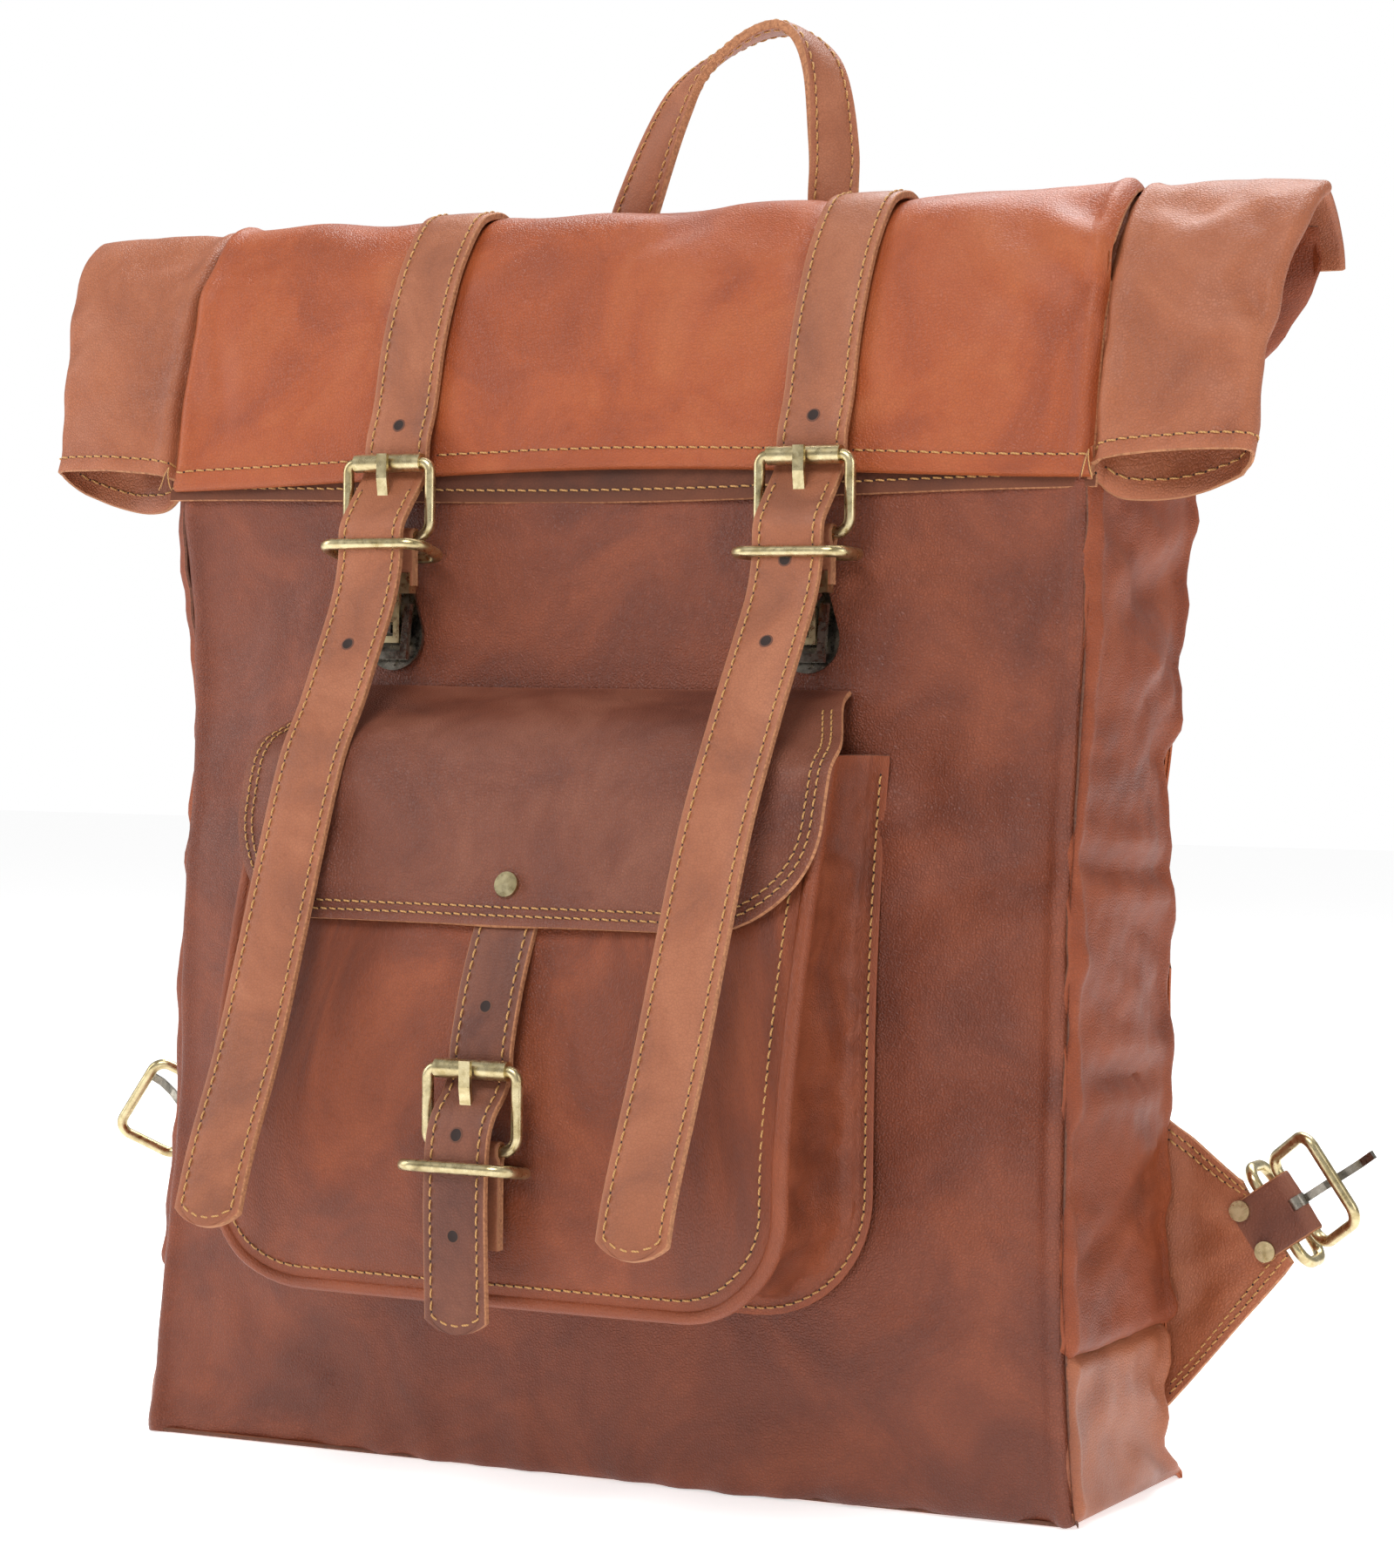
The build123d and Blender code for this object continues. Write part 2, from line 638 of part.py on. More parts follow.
# The lower corner pieces are drawn in the patch's own plane, for the right side,
# and mirrored.  u points away from the bag, v runs along the patch's outer edge.
anchor_y = back_waist + 3.0
u_x, u_z = math.cos(math.radians(anchor_angle)), math.sin(math.radians(anchor_angle))
edge_x, edge_z = half_width + anchor_reach, anchor_mid_z


def anchor_point(u, v):
    return (edge_x + u * u_x - v * u_z, edge_z + u * u_z + v * u_x)


def anchor_place(u, v):
    """Frame with x against v, z along u and -y towards the front."""
    x, z = anchor_point(u, v)
    return Location(Plane(origin=(x, anchor_y, z), x_dir=(u_z, 0, -u_x), z_dir=(u_x, 0, u_z)))


def anchor_patch(side):
    """Leather patch sewn into the back corner seam."""
    low = half_width + swing_gap + 0.4
    points = [(low, anchor_bottom), anchor_point(0, -anchor_edge / 2), anchor_point(0, anchor_edge / 2),
              (low, anchor_top)]
    body = extrude(Plane.XZ * make_face(Polyline(*points, close=True)), anchor_ply / 2, both=True)
    body = Pos(0, anchor_y, 0) * body
    for v in (-rivet_spacing / 2, rivet_spacing / 2):
        x, z = anchor_point(-rivet_in, v)
        body -= rod_y(x, anchor_y, z, rivet_hole_r, 10)
    return mirrored(body, side)


def shoulder_chape(side):
    """Folded leather: two plies on the patch, a tunnel for the ring and one for the frame."""
    ply = strap_ply / 2
    back = anchor_ply / 2 + seam_gap
    outer = bore_r + ply
    legs = [Pos(0, s * (back + ply / 2), -4) * Box(tab_width, ply, 16) for s in (-1, 1)]
    bridge = Pos(0, 0, chape_reach / 2 + 1) * Box(tab_width, 2 * (back + ply), chape_reach - 2)
    tunnel = Pos(0, 0, tunnel_out) * rod_x(0, 0, outer, tab_width)
    loop = Pos(0, 0, chape_reach) * rod_x(0, 0, outer, tab_width)
    body = legs[0] + legs[1] + bridge + tunnel + loop
    body -= Pos(0, 0, tunnel_out) * rod_x(0, 0, bore_r, tab_width + 2)
    body -= Pos(0, 0, chape_reach) * rod_x(0, 0, bore_r, tab_width + 2)
    body -= Pos(0, 0, chape_reach + 1) * Box(prong_eye_slot, 16, 11)
    for v in (-rivet_spacing / 2, rivet_spacing / 2):
        body -= rod_y(v, 0, -rivet_in, rivet_hole_r, 14)
    return mirrored(anchor_place(0, 0) * body, side)


def anchor_rivets(side):
    """Two domed rivets through the chape and the patch."""
    depth = anchor_ply + 2 * seam_gap + strap_ply + 1.0
    both = []
    for v in (-rivet_spacing / 2, rivet_spacing / 2):
        shank = rod_y(v, 0, -rivet_in, rivet_shank_r, depth)
        heads = [rod_y(v, s * (depth / 2 + 0.2), -rivet_in, rivet_d / 2, rivet_head) for s in (-1, 1)]
        both.append(mirrored(anchor_place(0, 0) * (shank + heads[0] + heads[1]), side))
    return Compound(children=both)


def shoulder_frame(side):
    loop = wire_loop(frame_width, buckle_rise, frame_corner, frame_corner)
    body = Location((0, 0, 0), (shoulder_frame_tilt, 0, 0)) * loop
    return mirrored(anchor_place(chape_reach, 0) * body, side)


loose_prong_path = [(2.6, 1.8), (3.0, 12.0), (6.0, 21.0), (6.5, 28.0), (3.4, 34.5)]
loose_prong_width = 3.2


def shoulder_prong(side):
    """Bent pin on the frame's inner bar, left pointing past the frame's back."""
    shank = strap(loose_prong_path, prong_ply, loose_prong_width)
    body = shank + rod_x(0, 0, bore_r + prong_ply, prong_width)
    body -= rod_x(0, 0, bore_r, prong_width + 2)
    return mirrored(anchor_place(chape_reach, 0) * body, side)


def shoulder_ring(side):
    """Keeper loop through the chape's tunnel, hanging back from it."""
    loop = wire_loop(frame_width + wire_d, ring_depth, ring_corner, ring_corner)
    body = Location((0, 0, 0), (-90, 0, 0)) * loop
    return mirrored(anchor_place(tunnel_out, 0) * body, side)


# ------------------------------------------------------------------------- build
def build_all():
    parts = {
        "front_panel": front_panel(),
        "back_panel": back_panel(),
        "base_strip": base_strip(),
        "lining": lining(),
        "rolltop_fold": rolltop_fold(),
        "flap_outer_ply": flap_outer_ply(),
        "flap_inner_ply": flap_inner_ply(),
        "pocket_front": pocket_front(),
        "pocket_gusset": pocket_gusset(),
        "pocket_flap": pocket_flap(),
        "pocket_strap": pocket_strap(),
        "pocket_stud": pocket_stud(),
        "snap_socket": snap_socket(),
        "snap_stud": snap_stud(),
        "handle": handle(),
        "handle_tabs": handle_tabs(),
    }
    pocket_place = (pocket_strap_x, -pocket_buckle_out, pocket_buckle_z)
    pocket_ring_place = (pocket_strap_x, -pocket_buckle_out + ring_back, pocket_buckle_z - ring_drop)
    parts["pocket_frame"] = at_bar(buckle_frame(), *pocket_place)
    parts["pocket_roller"] = at_bar(roller(), *pocket_place)
    parts["pocket_prong"] = at_bar(prong(), *pocket_place)
    parts["pocket_tab"] = at_bar(tab(pocket_buckle_z - snap_z + 12), *pocket_place)
    parts["pocket_ring"] = at_bar(keeper_ring(pocket_ring_droop), *pocket_ring_place)
    for side in ("left", "right"):
        x = side_sign(side) * strap_x
        place = (x, -buckle_standoff, buckle_z)
        ring_place = (x, -buckle_standoff + ring_back, buckle_z - ring_drop)
        parts[side + "_gusset"] = gusset(side)
        parts[side + "_strap"] = front_strap(side)
        parts[side + "_strap_fold"] = strap_fold(side)
        parts[side + "_strap_tail"] = strap_tail(side)
        parts[side + "_frame"] = at_bar(buckle_frame(), *place)
        parts[side + "_roller"] = at_bar(roller(), *place)
        parts[side + "_prong"] = at_bar(prong(), *place)
        parts[side + "_tab"] = at_bar(tab(tab_length), *place)
        parts[side + "_tab_clamp"] = tab_clamp(side)
        parts[side + "_ring"] = at_bar(keeper_ring(ring_droop[side]), *ring_place)
        parts[side + "_lock_plate"] = lock_plate(side)
        parts[side + "_lock_lever"] = lock_lever(side)
        parts[side + "_shoulder_strap"] = shoulder_strap(side)
        parts[side + "_anchor_patch"] = anchor_patch(side)
        parts[side + "_anchor_rivets"] = anchor_rivets(side)
        parts[side + "_chape"] = shoulder_chape(side)
        parts[side + "_shoulder_frame"] = shoulder_frame(side)
        parts[side + "_shoulder_prong"] = shoulder_prong(side)
        parts[side + "_shoulder_ring"] = shoulder_ring(side)
    return parts


os.makedirs("parts", exist_ok=True)
for name, shape in build_all().items():
    export_step(shape, "parts/" + name + ".step")
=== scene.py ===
import json
import math

import bmesh
import bpy
import numpy as np
from mathutils import Matrix, Vector


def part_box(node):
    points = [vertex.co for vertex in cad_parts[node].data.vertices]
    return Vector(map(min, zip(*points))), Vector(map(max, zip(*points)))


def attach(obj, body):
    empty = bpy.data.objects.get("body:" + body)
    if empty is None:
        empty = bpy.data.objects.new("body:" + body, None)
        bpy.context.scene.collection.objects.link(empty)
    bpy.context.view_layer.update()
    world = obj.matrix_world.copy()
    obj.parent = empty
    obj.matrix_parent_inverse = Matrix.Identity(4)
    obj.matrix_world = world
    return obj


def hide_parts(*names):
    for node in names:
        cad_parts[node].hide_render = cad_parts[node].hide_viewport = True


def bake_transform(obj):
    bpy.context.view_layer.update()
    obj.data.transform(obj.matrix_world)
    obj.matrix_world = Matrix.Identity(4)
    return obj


# Leather roll-top backpack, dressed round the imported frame.  Shapes are worked out in
# millimetres, in the frame's axes (+Z up, the front faces -Y), and built in metres.

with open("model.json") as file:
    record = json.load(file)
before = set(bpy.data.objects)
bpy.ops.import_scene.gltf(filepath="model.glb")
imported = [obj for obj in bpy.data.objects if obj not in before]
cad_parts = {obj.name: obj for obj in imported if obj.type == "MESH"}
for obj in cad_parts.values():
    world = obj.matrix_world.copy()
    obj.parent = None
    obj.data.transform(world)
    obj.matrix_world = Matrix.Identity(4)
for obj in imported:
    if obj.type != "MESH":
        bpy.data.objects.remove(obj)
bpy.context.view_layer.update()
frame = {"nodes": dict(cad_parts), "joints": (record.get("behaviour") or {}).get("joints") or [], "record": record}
MM = 0.001


def low(node):
    return np.array(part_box(node)[0]) / MM


def high(node):
    return np.array(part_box(node)[1]) / MM


def centre(node):
    return (low(node) + high(node)) / 2


def joint_at(name):
    """A joint's place at rest, in millimetres."""
    found = next(j for j in frame["joints"] if j["name"] == name)
    return np.array(found["pos_m"]) / MM


# ------------------------------------------------------------ sizes from the frame
half_width = high("front_panel")[0]
crest_z = high("rolltop_fold")[2]
hem_z = low("flap_outer_ply")[2]
ridge_z = low("rolltop_fold")[2]
riser_z = high("base_strip")[2]
strap_x = centre("right_strap")[0]
strap_width = high("right_strap")[0] - low("right_strap")[0]
buckle = joint_at("right_prong_lift")
pocket_hinge = joint_at("pocket_cover")
pocket_buckle = joint_at("pocket_prong_lift")
pocket_half = high("pocket_front")[0]
pocket_low, pocket_top = low("pocket_front")[2], high("pocket_front")[2]
pocket_x = centre("pocket_strap")[0]
flap_half = high("pocket_flap")[0]
flap_low = low("pocket_flap")[2]
handle_x = joint_at("handle_fold")[0]
anchor_y = centre("right_anchor_patch")[1]
shoulder_hinge = joint_at("right_shoulder_swing")
shoulder_width = high("right_shoulder_strap")[0] - low("right_shoulder_strap")[0]
shoulder_end = low("right_shoulder_strap")[2]

# ------------------------------------------------------------------ sizes set here
ply, strap_ply, shoulder_ply = 2.0, 3.2, 5.0
strap_clear = 0.8                # between a strap and the leather it lies on
gusset_depth, base_depth = 105.0, 110.0
handle_span, handle_width, handle_ply = 96.0, 20.0, 3.8
anchor_reach = 38.6              # the corner patch's outer end, out from the bag's side
anchor_mid_z = 104.0
anchor_angle = 35.0              # the way the patch points, degrees up
chape_reach = 14.4               # from the patch's outer end to the buckle's bar
tab_width = 25.0
shoulder_tip_width = 29.0
shoulder_hole_start, shoulder_hole_pitch = 30, 25
fine, coarse = 1.2, 4.0          # grid steps near a seam and away from it
stitch_in = 3.3                  # stitching, in from a strap's edge
stitch_pitch = 4.6
thread_r = 0.36
edge_reach = 8.0                 # how far a turned seam shapes the leather beside it
sharp_angle = 50                 # degrees between faces, above which an edge is sharp


# ------------------------------------------------------------------- small geometry
def spline(points, step):
    """Even steps along a smooth curve through the points."""
    known = np.array(points, float)
    padded = np.vstack([2 * known[0] - known[1], known, 2 * known[-1] - known[-2]])
    t = np.linspace(0, 1, 24, endpoint=False)[:, None]
    spans = []
    for a, b, c, d in zip(padded, padded[1:], padded[2:], padded[3:]):
        spans.append(0.5 * (2 * b + (c - a) * t + (2 * a - 5 * b + 4 * c - d) * t ** 2
                            + (3 * b - a - 3 * c + d) * t ** 3))
    dense = np.vstack(spans + [known[-1:]])
    return resample(dense, step)


def lengths(points):
    """Distance along a polyline at each of its points."""
    steps = np.linalg.norm(np.diff(points, axis=0), axis=1)
    return np.concatenate([[0], np.cumsum(steps)])


def resample(points, step):
    along = lengths(points)
    count = max(2, int(round(along[-1] / step)) + 1)
    even = np.linspace(0, along[-1], count)
    return np.column_stack([np.interp(even, along, column) for column in points.T])


def profile(points):
    """A smooth y for each z, from (z, y) points with rising z."""
    dense = spline(points, 1.0)
    return lambda z: np.interp(z, dense[:, 0], dense[:, 1])


def unit(vectors):
    return vectors / np.maximum(np.linalg.norm(vectors, axis=-1, keepdims=True), 1e-9)


def smooth_step(low_end, high_end, value):
    t = np.clip((value - low_end) / (high_end - low_end), 0, 1)
    return t * t * (3 - 2 * t)


def ripple(points, wavelength, seed, stretch=(1, 1, 1)):
    """Smooth unevenness between about -1 and 1, from seeded waves."""
    rng = np.random.default_rng(seed)
    scaled = np.asarray(points) / (wavelength * np.array(stretch))
    total = 0
    for _ in range(12):
        direction = unit(rng.normal(size=3)) * rng.uniform(0.6, 1.7)
        total = total + np.sin(2 * math.pi * (scaled @ direction) + rng.uniform(0, 6.3))
    return total / 4.2


def crease(a, b, points, depth, width):
    """A groove from a to b with swollen sides, as a height over flat points."""
    a, b = np.array(a, float), np.array(b, float)
    run = b - a
    t = np.clip(((points - a) @ run) / (run @ run), 0, 1)
    away = np.linalg.norm(points - a - t[..., None] * run, axis=-1) / width
    ends = np.sin(math.pi * np.clip(t, 0.04, 0.96)) ** 0.6
    return depth * ends * (0.45 * np.exp(-((away - 1.9) / 1.1) ** 2) - np.exp(-away ** 2))


def add_creases(height, listed, flat, share=1):
    """Adds every listed crease, as (end, end, depth, width), to the height in place."""
    for a, b, depth, width in listed:
        height += crease(a, b, flat, depth, width) * share


def turned_seam(distance):
    """Height of the leather beside a turned seam: a rounded ridge, then the groove."""
    ridge = 2.2 * np.exp(-((distance - 5.0) / 3.6) ** 2)
    return ridge - 2.6 * np.exp(-(distance / 1.7) ** 2)


def steps_to_seams(first, last, start_seam=True, end_seam=True):
    """Positions from first to last, close together beside a seam."""
    place, found = first, [first]
    while place < last:
        near = min(place - first if start_seam else 1e9, last - place if end_seam else 1e9)
        place += fine if near < edge_reach + 4 else coarse
        found.append(place)
    found[-1] = last
    return np.array(found)


def grid_normals(grid, inside):
    """Unit normals of a grid of points, pointing away from a point inside."""
    normals = unit(np.cross(np.gradient(grid, axis=0), np.gradient(grid, axis=1)))
    outward = np.sum(normals * (grid - np.array(inside, float)))
    return normals if outward > 0 else -normals


# ------------------------------------------------------------------- mesh building
def make_object(name, points, faces, face_uv, face_slot, materials):
    """A smooth-shaded object from points in millimetres, with metric UVs."""
    mesh = bpy.data.meshes.new(name)
    mesh.from_pydata([tuple(p) for p in np.asarray(points) * MM], [], faces)
    for material in materials:
        mesh.materials.append(material)
    mesh.polygons.foreach_set("material_index", face_slot)
    if face_uv is not None:
        layer = mesh.uv_layers.new(name="surface")
        layer.data.foreach_set("uv", np.asarray(face_uv, float).ravel())
    obj = bpy.data.objects.new(name, mesh)
    bpy.context.scene.collection.objects.link(obj)
    edit = bmesh.new()
    edit.from_mesh(mesh)
    bmesh.ops.remove_doubles(edit, verts=edit.verts, dist=1e-7)
    bmesh.ops.recalc_face_normals(edit, faces=edit.faces)
    edit.to_mesh(mesh)
    edit.free()
    mesh.shade_smooth()
    mesh.set_sharp_from_angle(angle=math.radians(sharp_angle))
    return obj


def quads(rows, cols, offset=0, wrap=False):
    last = cols if wrap else cols - 1
    return [(offset + r * cols + c, offset + r * cols + (c + 1) % cols,
             offset + (r + 1) * cols + (c + 1) % cols, offset + (r + 1) * cols + c)
            for r in range(rows - 1) for c in range(last)]


def grid_uv(grid):
    """Decimetres along and across the grid, for each point."""
    across = np.cumsum(np.linalg.norm(np.diff(grid, axis=1), axis=2), axis=1)
    across = np.pad(across, ((0, 0), (1, 0)))
    across -= across[:, across.shape[1] // 2][:, None]
    middle = grid[:, grid.shape[1] // 2]
    along = np.broadcast_to(lengths(middle)[:, None], across.shape)
    return np.stack([across, along], axis=-1) / 100


uv_shift = [0.0]


def next_uv_shift():
    """Each piece is cut from another place of the hide."""
    uv_shift[0] += 7.3
    return uv_shift[0]


def shell(name, grid, inside, materials, thick=ply):
    """A closed leather sheet whose outer face is the grid, with rounded raw edges."""
    rows, cols = grid.shape[:2]
    normals = grid_normals(grid, inside)
    inner = grid - normals * thick
    ring = [(0, c) for c in range(cols)] + [(r, cols - 1) for r in range(1, rows)]
    ring += [(rows - 1, c) for c in range(cols - 2, -1, -1)] + [(r, 0) for r in range(rows - 2, 0, -1)]
    rim = []
    for r, c in ring:
        inward = grid[min(max(r, 1), rows - 2), min(max(c, 1), cols - 2)]
        rim.append((grid[r, c] + inner[r, c]) / 2 + unit(grid[r, c] - inward) * thick * 0.3)
    points = np.vstack([grid.reshape(-1, 3), inner.reshape(-1, 3), rim])
    size = rows * cols
    faces = quads(rows, cols) + quads(rows, cols, size)
    slots = [0] * len(faces)
    for k in range(len(ring)):
        (r0, c0), (r1, c1) = ring[k], ring[(k + 1) % len(ring)]
        a, b = r0 * cols + c0, r1 * cols + c1
        m, n = 2 * size + k, 2 * size + (k + 1) % len(ring)
        faces += [(a, b, n, m), (m, n, size + b, size + a)]
        slots += [1, 1]
    flat = grid_uv(grid).reshape(-1, 2) + next_uv_shift()
    uv = np.vstack([flat, flat + 3.1, [flat[r * cols + c] for r, c in ring]])
    return make_object(name, points, faces, uv[np.array(faces).ravel()], slots, materials)


def upright(path, x):
    """A (y, z) path as points at x."""
    return np.column_stack([np.full(len(path), x), path])


def swept(path, xs):
    """A grid with the same (y, z) path at every x."""
    return np.stack([upright(path, x) for x in xs], axis=1)


def circles(spots, side, up, radius, corners):
    """A small ring of corners round each spot, in the plane of its side and up."""
    turn = (np.arange(corners) / corners * 2 * math.pi)[None, :, None]
    return spots[:, None] + radius * (side[:, None] * np.cos(turn) + up[:, None] * np.sin(turn))


class Ribbon:
    """A strap of two sewn plies: a middle line, a direction across it, an outer side."""

    def __init__(self, middle, across=(1, 0, 0), width=strap_width, thick=strap_ply):
        self.middle = np.array(middle, float)
        self.along = lengths(self.middle)
        self.length = self.along[-1]
        self.tangent = unit(np.gradient(self.middle, axis=0))
        across = np.broadcast_to(np.array(across, float), self.middle.shape)
        dot = np.sum(across * self.tangent, axis=1, keepdims=True)
        self.across = unit(across - dot * self.tangent)
        self.normal = unit(np.cross(self.tangent, self.across))
        self.width, self.thick = width, thick

    def point(self, s, u, h):
        """The point s along, u across and h above the middle."""
        parts = []
        for values in (self.middle, self.across, self.normal):
            parts.append(np.column_stack([np.interp(s, self.along, v) for v in values.T]))
        u, h = np.broadcast_to(u, np.shape(s)), np.broadcast_to(h, np.shape(s))
        return parts[0] + parts[1] * u[:, None] + parts[2] * h[:, None]

    def normal_at(self, s):
        return unit(np.column_stack([np.interp(s, self.along, v) for v in self.normal.T]))


def strap_section(width, thick, grooved=True, crown=0.15):
    """Points (u, h) round a strap's section, and the face slot that follows each."""
    half, top = width / 2, thick / 2
    dip = 0.22 if grooved else 0.0
    line = half - stitch_in
    upper = [(-half + 0.5, top - 0.1), (-half + 1.4, top), (-line - 0.5, top), (-line, top - dip),
             (-line + 0.5, top), (-line / 2, top + crown), (0, top + crown * 1.3)]
    upper += [(-u, h) for u, h in upper[-2::-1]]
    side = [(half - 0.08, top - 0.5), (half, top * 0.55), (half - 0.32, 0)]
    side += [(half, -top * 0.55), (half - 0.08, -top + 0.5)]
    lower = [(-u, -h) for u, h in upper]
    outline = upper + side + lower + [(-u, -h) for u, h in side]
    slots = [0] * (len(upper) - 1) + [1] * (len(side) + 1)
    return np.array(outline), slots * 2


def strap(name, ribbon, materials, width_at=None, grooved=True, crown=0.15, step=2.4, tip_r=0):
    """The strap's mesh.  With tip_r its far end is rounded to that radius."""
    outline, slots = strap_section(ribbon.width, ribbon.thick, grooved, crown)
    stations = np.linspace(0, ribbon.length, max(3, int(ribbon.length / step)))
    if tip_r:
        cut = tip_depth(ribbon.width, tip_r)
        body = stations[stations < ribbon.length - cut]
        round_end = ribbon.length - cut * (1 - np.sin(np.linspace(0, math.pi / 2, 12)))
        stations = np.concatenate([body, round_end[:-1], [ribbon.length - 0.03]])
    share = np.ones(len(stations)) if width_at is None else width_at(stations) / ribbon.width
    if tip_r:
        left = np.clip(ribbon.length - stations, 0, tip_r)
        chord = np.sqrt(np.maximum(tip_r ** 2 - (tip_r - left) ** 2, 0)) * 2
        share = np.minimum(share, chord / ribbon.width)
    loops = [ribbon.point(stations, u * share, h) for u, h in outline]
    points = np.stack(loops, axis=1).reshape(-1, 3)
    rows, cols = len(stations), len(outline)
    faces = quads(rows, cols, wrap=True)
    face_slots = slots * (rows - 1)
    faces += [tuple(range(cols)), tuple(range((rows - 1) * cols, rows * cols))]
    face_slots += [1, 1]
    around = lengths(np.vstack([outline, outline[:1]]))[:-1]
    shift = next_uv_shift()
    uv = np.stack(np.broadcast_arrays(around[None, :] / 100, stations[:, None] / 100), axis=-1)
    uv = uv.reshape(-1, 2) + shift
    flat = np.concatenate([uv[list(face)] for face in faces])
    return make_object(name, points, faces, flat, face_slots, materials)


def tip_depth(width, tip_r):
    return tip_r - math.sqrt(max(tip_r ** 2 - (width / 2) ** 2, 0)) if width / 2 < tip_r else tip_r


def stitching(name, line, normals, pitch=stitch_pitch, radius=thread_r, slant=0.25):
    """A row of thread stitches with dark discs of painted shade at the needle holes, along a line on a surface."""
    along = lengths(line)
    count = max(1, int(along[-1] / pitch))
    real = along[-1] / count

    def at(s, values):
        return np.column_stack([np.interp(s, along, v) for v in values.T])

    shares = np.array([0.10, 0.24, 0.5, 0.76, 0.90])
    heights = np.array([-0.35, 0.25, 0.42, 0.25, -0.35])
    swell = np.array([0.8, 1.0, 1.06, 1.0, 0.8])
    starts = np.arange(count) * real
    s = (starts[:, None] + shares * real).ravel()
    spots, ups = at(s, line), unit(at(s, normals))
    tangents = unit(at(np.minimum(s + 0.4, along[-1]), line) - at(np.maximum(s - 0.4, 0), line))
    sides = unit(np.cross(tangents, ups))
    lean = np.tile((shares - 0.5) * 2 * slant, count)
    spots = spots + ups * np.tile(heights, count)[:, None] + sides * lean[:, None]
    reach = np.tile(swell * radius, count)[:, None, None]
    rings = circles(spots, sides, ups, reach, 6)
    points = [rings.reshape(-1, 3)]
    faces, slots = [], []
    for k in range(count):
        first = k * 30
        faces += quads(5, 6, first, wrap=True)
        faces += [tuple(first + i for i in range(6)), tuple(first + 24 + i for i in range(6))]
    slots += [0] * len(faces)
    # a dark disc at each needle hole: painted shade
    holes = np.arange(count + 1) * real
    base, up = at(holes, line), unit(at(holes, normals))
    run = unit(at(np.minimum(holes + 0.4, along[-1]), line) - at(np.maximum(holes - 0.4, 0), line))
    side = unit(np.cross(run, up))
    size = radius * 1.25
    disc = circles(base, side, run, size, 6)
    caps = np.stack([base + up * 0.1, base - up * 0.4], axis=1)
    block = np.concatenate([disc, caps], axis=1).reshape(-1, 3)
    offset = len(points[0])
    points.append(block)
    for k in range(count + 1):
        first = offset + k * 8
        for i in range(6):
            a, b = first + i, first + (i + 1) % 6
            faces += [(a, b, first + 6), (b, a, first + 7)]
            slots += [1, 1]
    return make_object(name, np.vstack(points), faces, None, slots, [THREAD, HOLE_SHADE])


def edge_stitching(name, ribbon, start=4.0, end=None, inset=stitch_in, tip_r=0, width=None):
    """Stitching down one edge of a ribbon, round its tip if it has one, and back."""
    half = (ribbon.width if width is None else width) / 2 - inset
    end = ribbon.length - 4.0 if end is None else end
    if tip_r:
        turn_r = tip_r - inset
        limit = math.asin(min(half / turn_r, 1))
        angles = np.linspace(-limit, limit, 15)
        tip_s = ribbon.length - (tip_r - turn_r * np.cos(angles))
        straight = np.arange(start, tip_s[0] - 1, 2)
        s = np.concatenate([straight, tip_s, straight[::-1]])
        lines = [(s, np.concatenate([np.full(len(s) // 2 - 7, -half), turn_r * np.sin(angles),
                                     np.full(len(s) // 2 - 7, half)]))]
    else:
        s = np.arange(start, end, 2.0)
        lines = [(s, np.full(len(s), -half)), (s, np.full(len(s), half))]
    made = []
    for number, (s, u) in enumerate(lines):
        line = ribbon.point(s, u, ribbon.thick / 2 - 0.1)
        made.append(stitching(f"{name}_{number}", line, ribbon.normal_at(s)))
    return made


# ----------------------------------------------------------------------- materials
class Nodes:
    """Short calls for a material's node tree."""

    def __init__(self, name):
        self.material = bpy.data.materials.new(name)
        self.material.use_nodes = True
        self.tree = self.material.node_tree
        self.shader = self.tree.nodes["Principled BSDF"]

    def add(self, kind, settings=(), **inputs):
        node = self.tree.nodes.new(kind)
        for key, value in dict(settings).items():
            setattr(node, key, value)
        for key, value in inputs.items():
            self.feed(node, key.replace("_", " "), value)
        return node

    def feed(self, node, socket, value):
        if isinstance(value, bpy.types.NodeSocket):
            self.tree.links.new(value, node.inputs[socket])
        else:
            node.inputs[socket].default_value = value

    def surface(self, **inputs):
        for key, value in inputs.items():
            self.feed(self.shader, key.replace("_", " "), value)

    def ramp(self, value, *stops):
        node = self.add("ShaderNodeValToRGB", Fac=value)
        points = node.color_ramp.elements
        while len(points) < len(stops):
            points.new(0.5)
        for point, (place, colour) in zip(points, stops):
            point.position = place
            point.color = colour if len(colour) == 4 else (*colour, 1)
        return node.outputs["Color"]

    def mix(self, share, a, b, blend="MIX"):
        node = self.add("ShaderNodeMix", {"data_type": "RGBA", "blend_type": blend})
        for socket, value in ((0, share), (6, a), (7, b)):
            if isinstance(value, bpy.types.NodeSocket):
                self.tree.links.new(value, node.inputs[socket])
            else:
                node.inputs[socket].default_value = (*value, 1) if isinstance(value, tuple) else value
        return node.outputs[2]

    def noise(self, where, scale, detail=4.0, roughness=0.55, distortion=0.0):
        return self.add("ShaderNodeTexNoise", Vector=where, Scale=scale, Detail=detail,
                        Roughness=roughness, Distortion=distortion).outputs["Fac"]

    def bump(self, height, strength, distance, under=None):
        node = self.add("ShaderNodeBump", Height=height, Strength=strength, Distance=distance)
        if under is not None:
            self.tree.links.new(under, node.inputs["Normal"])
        return node.outputs["Normal"]


def grey(value):
    return (value, value, value, 1)


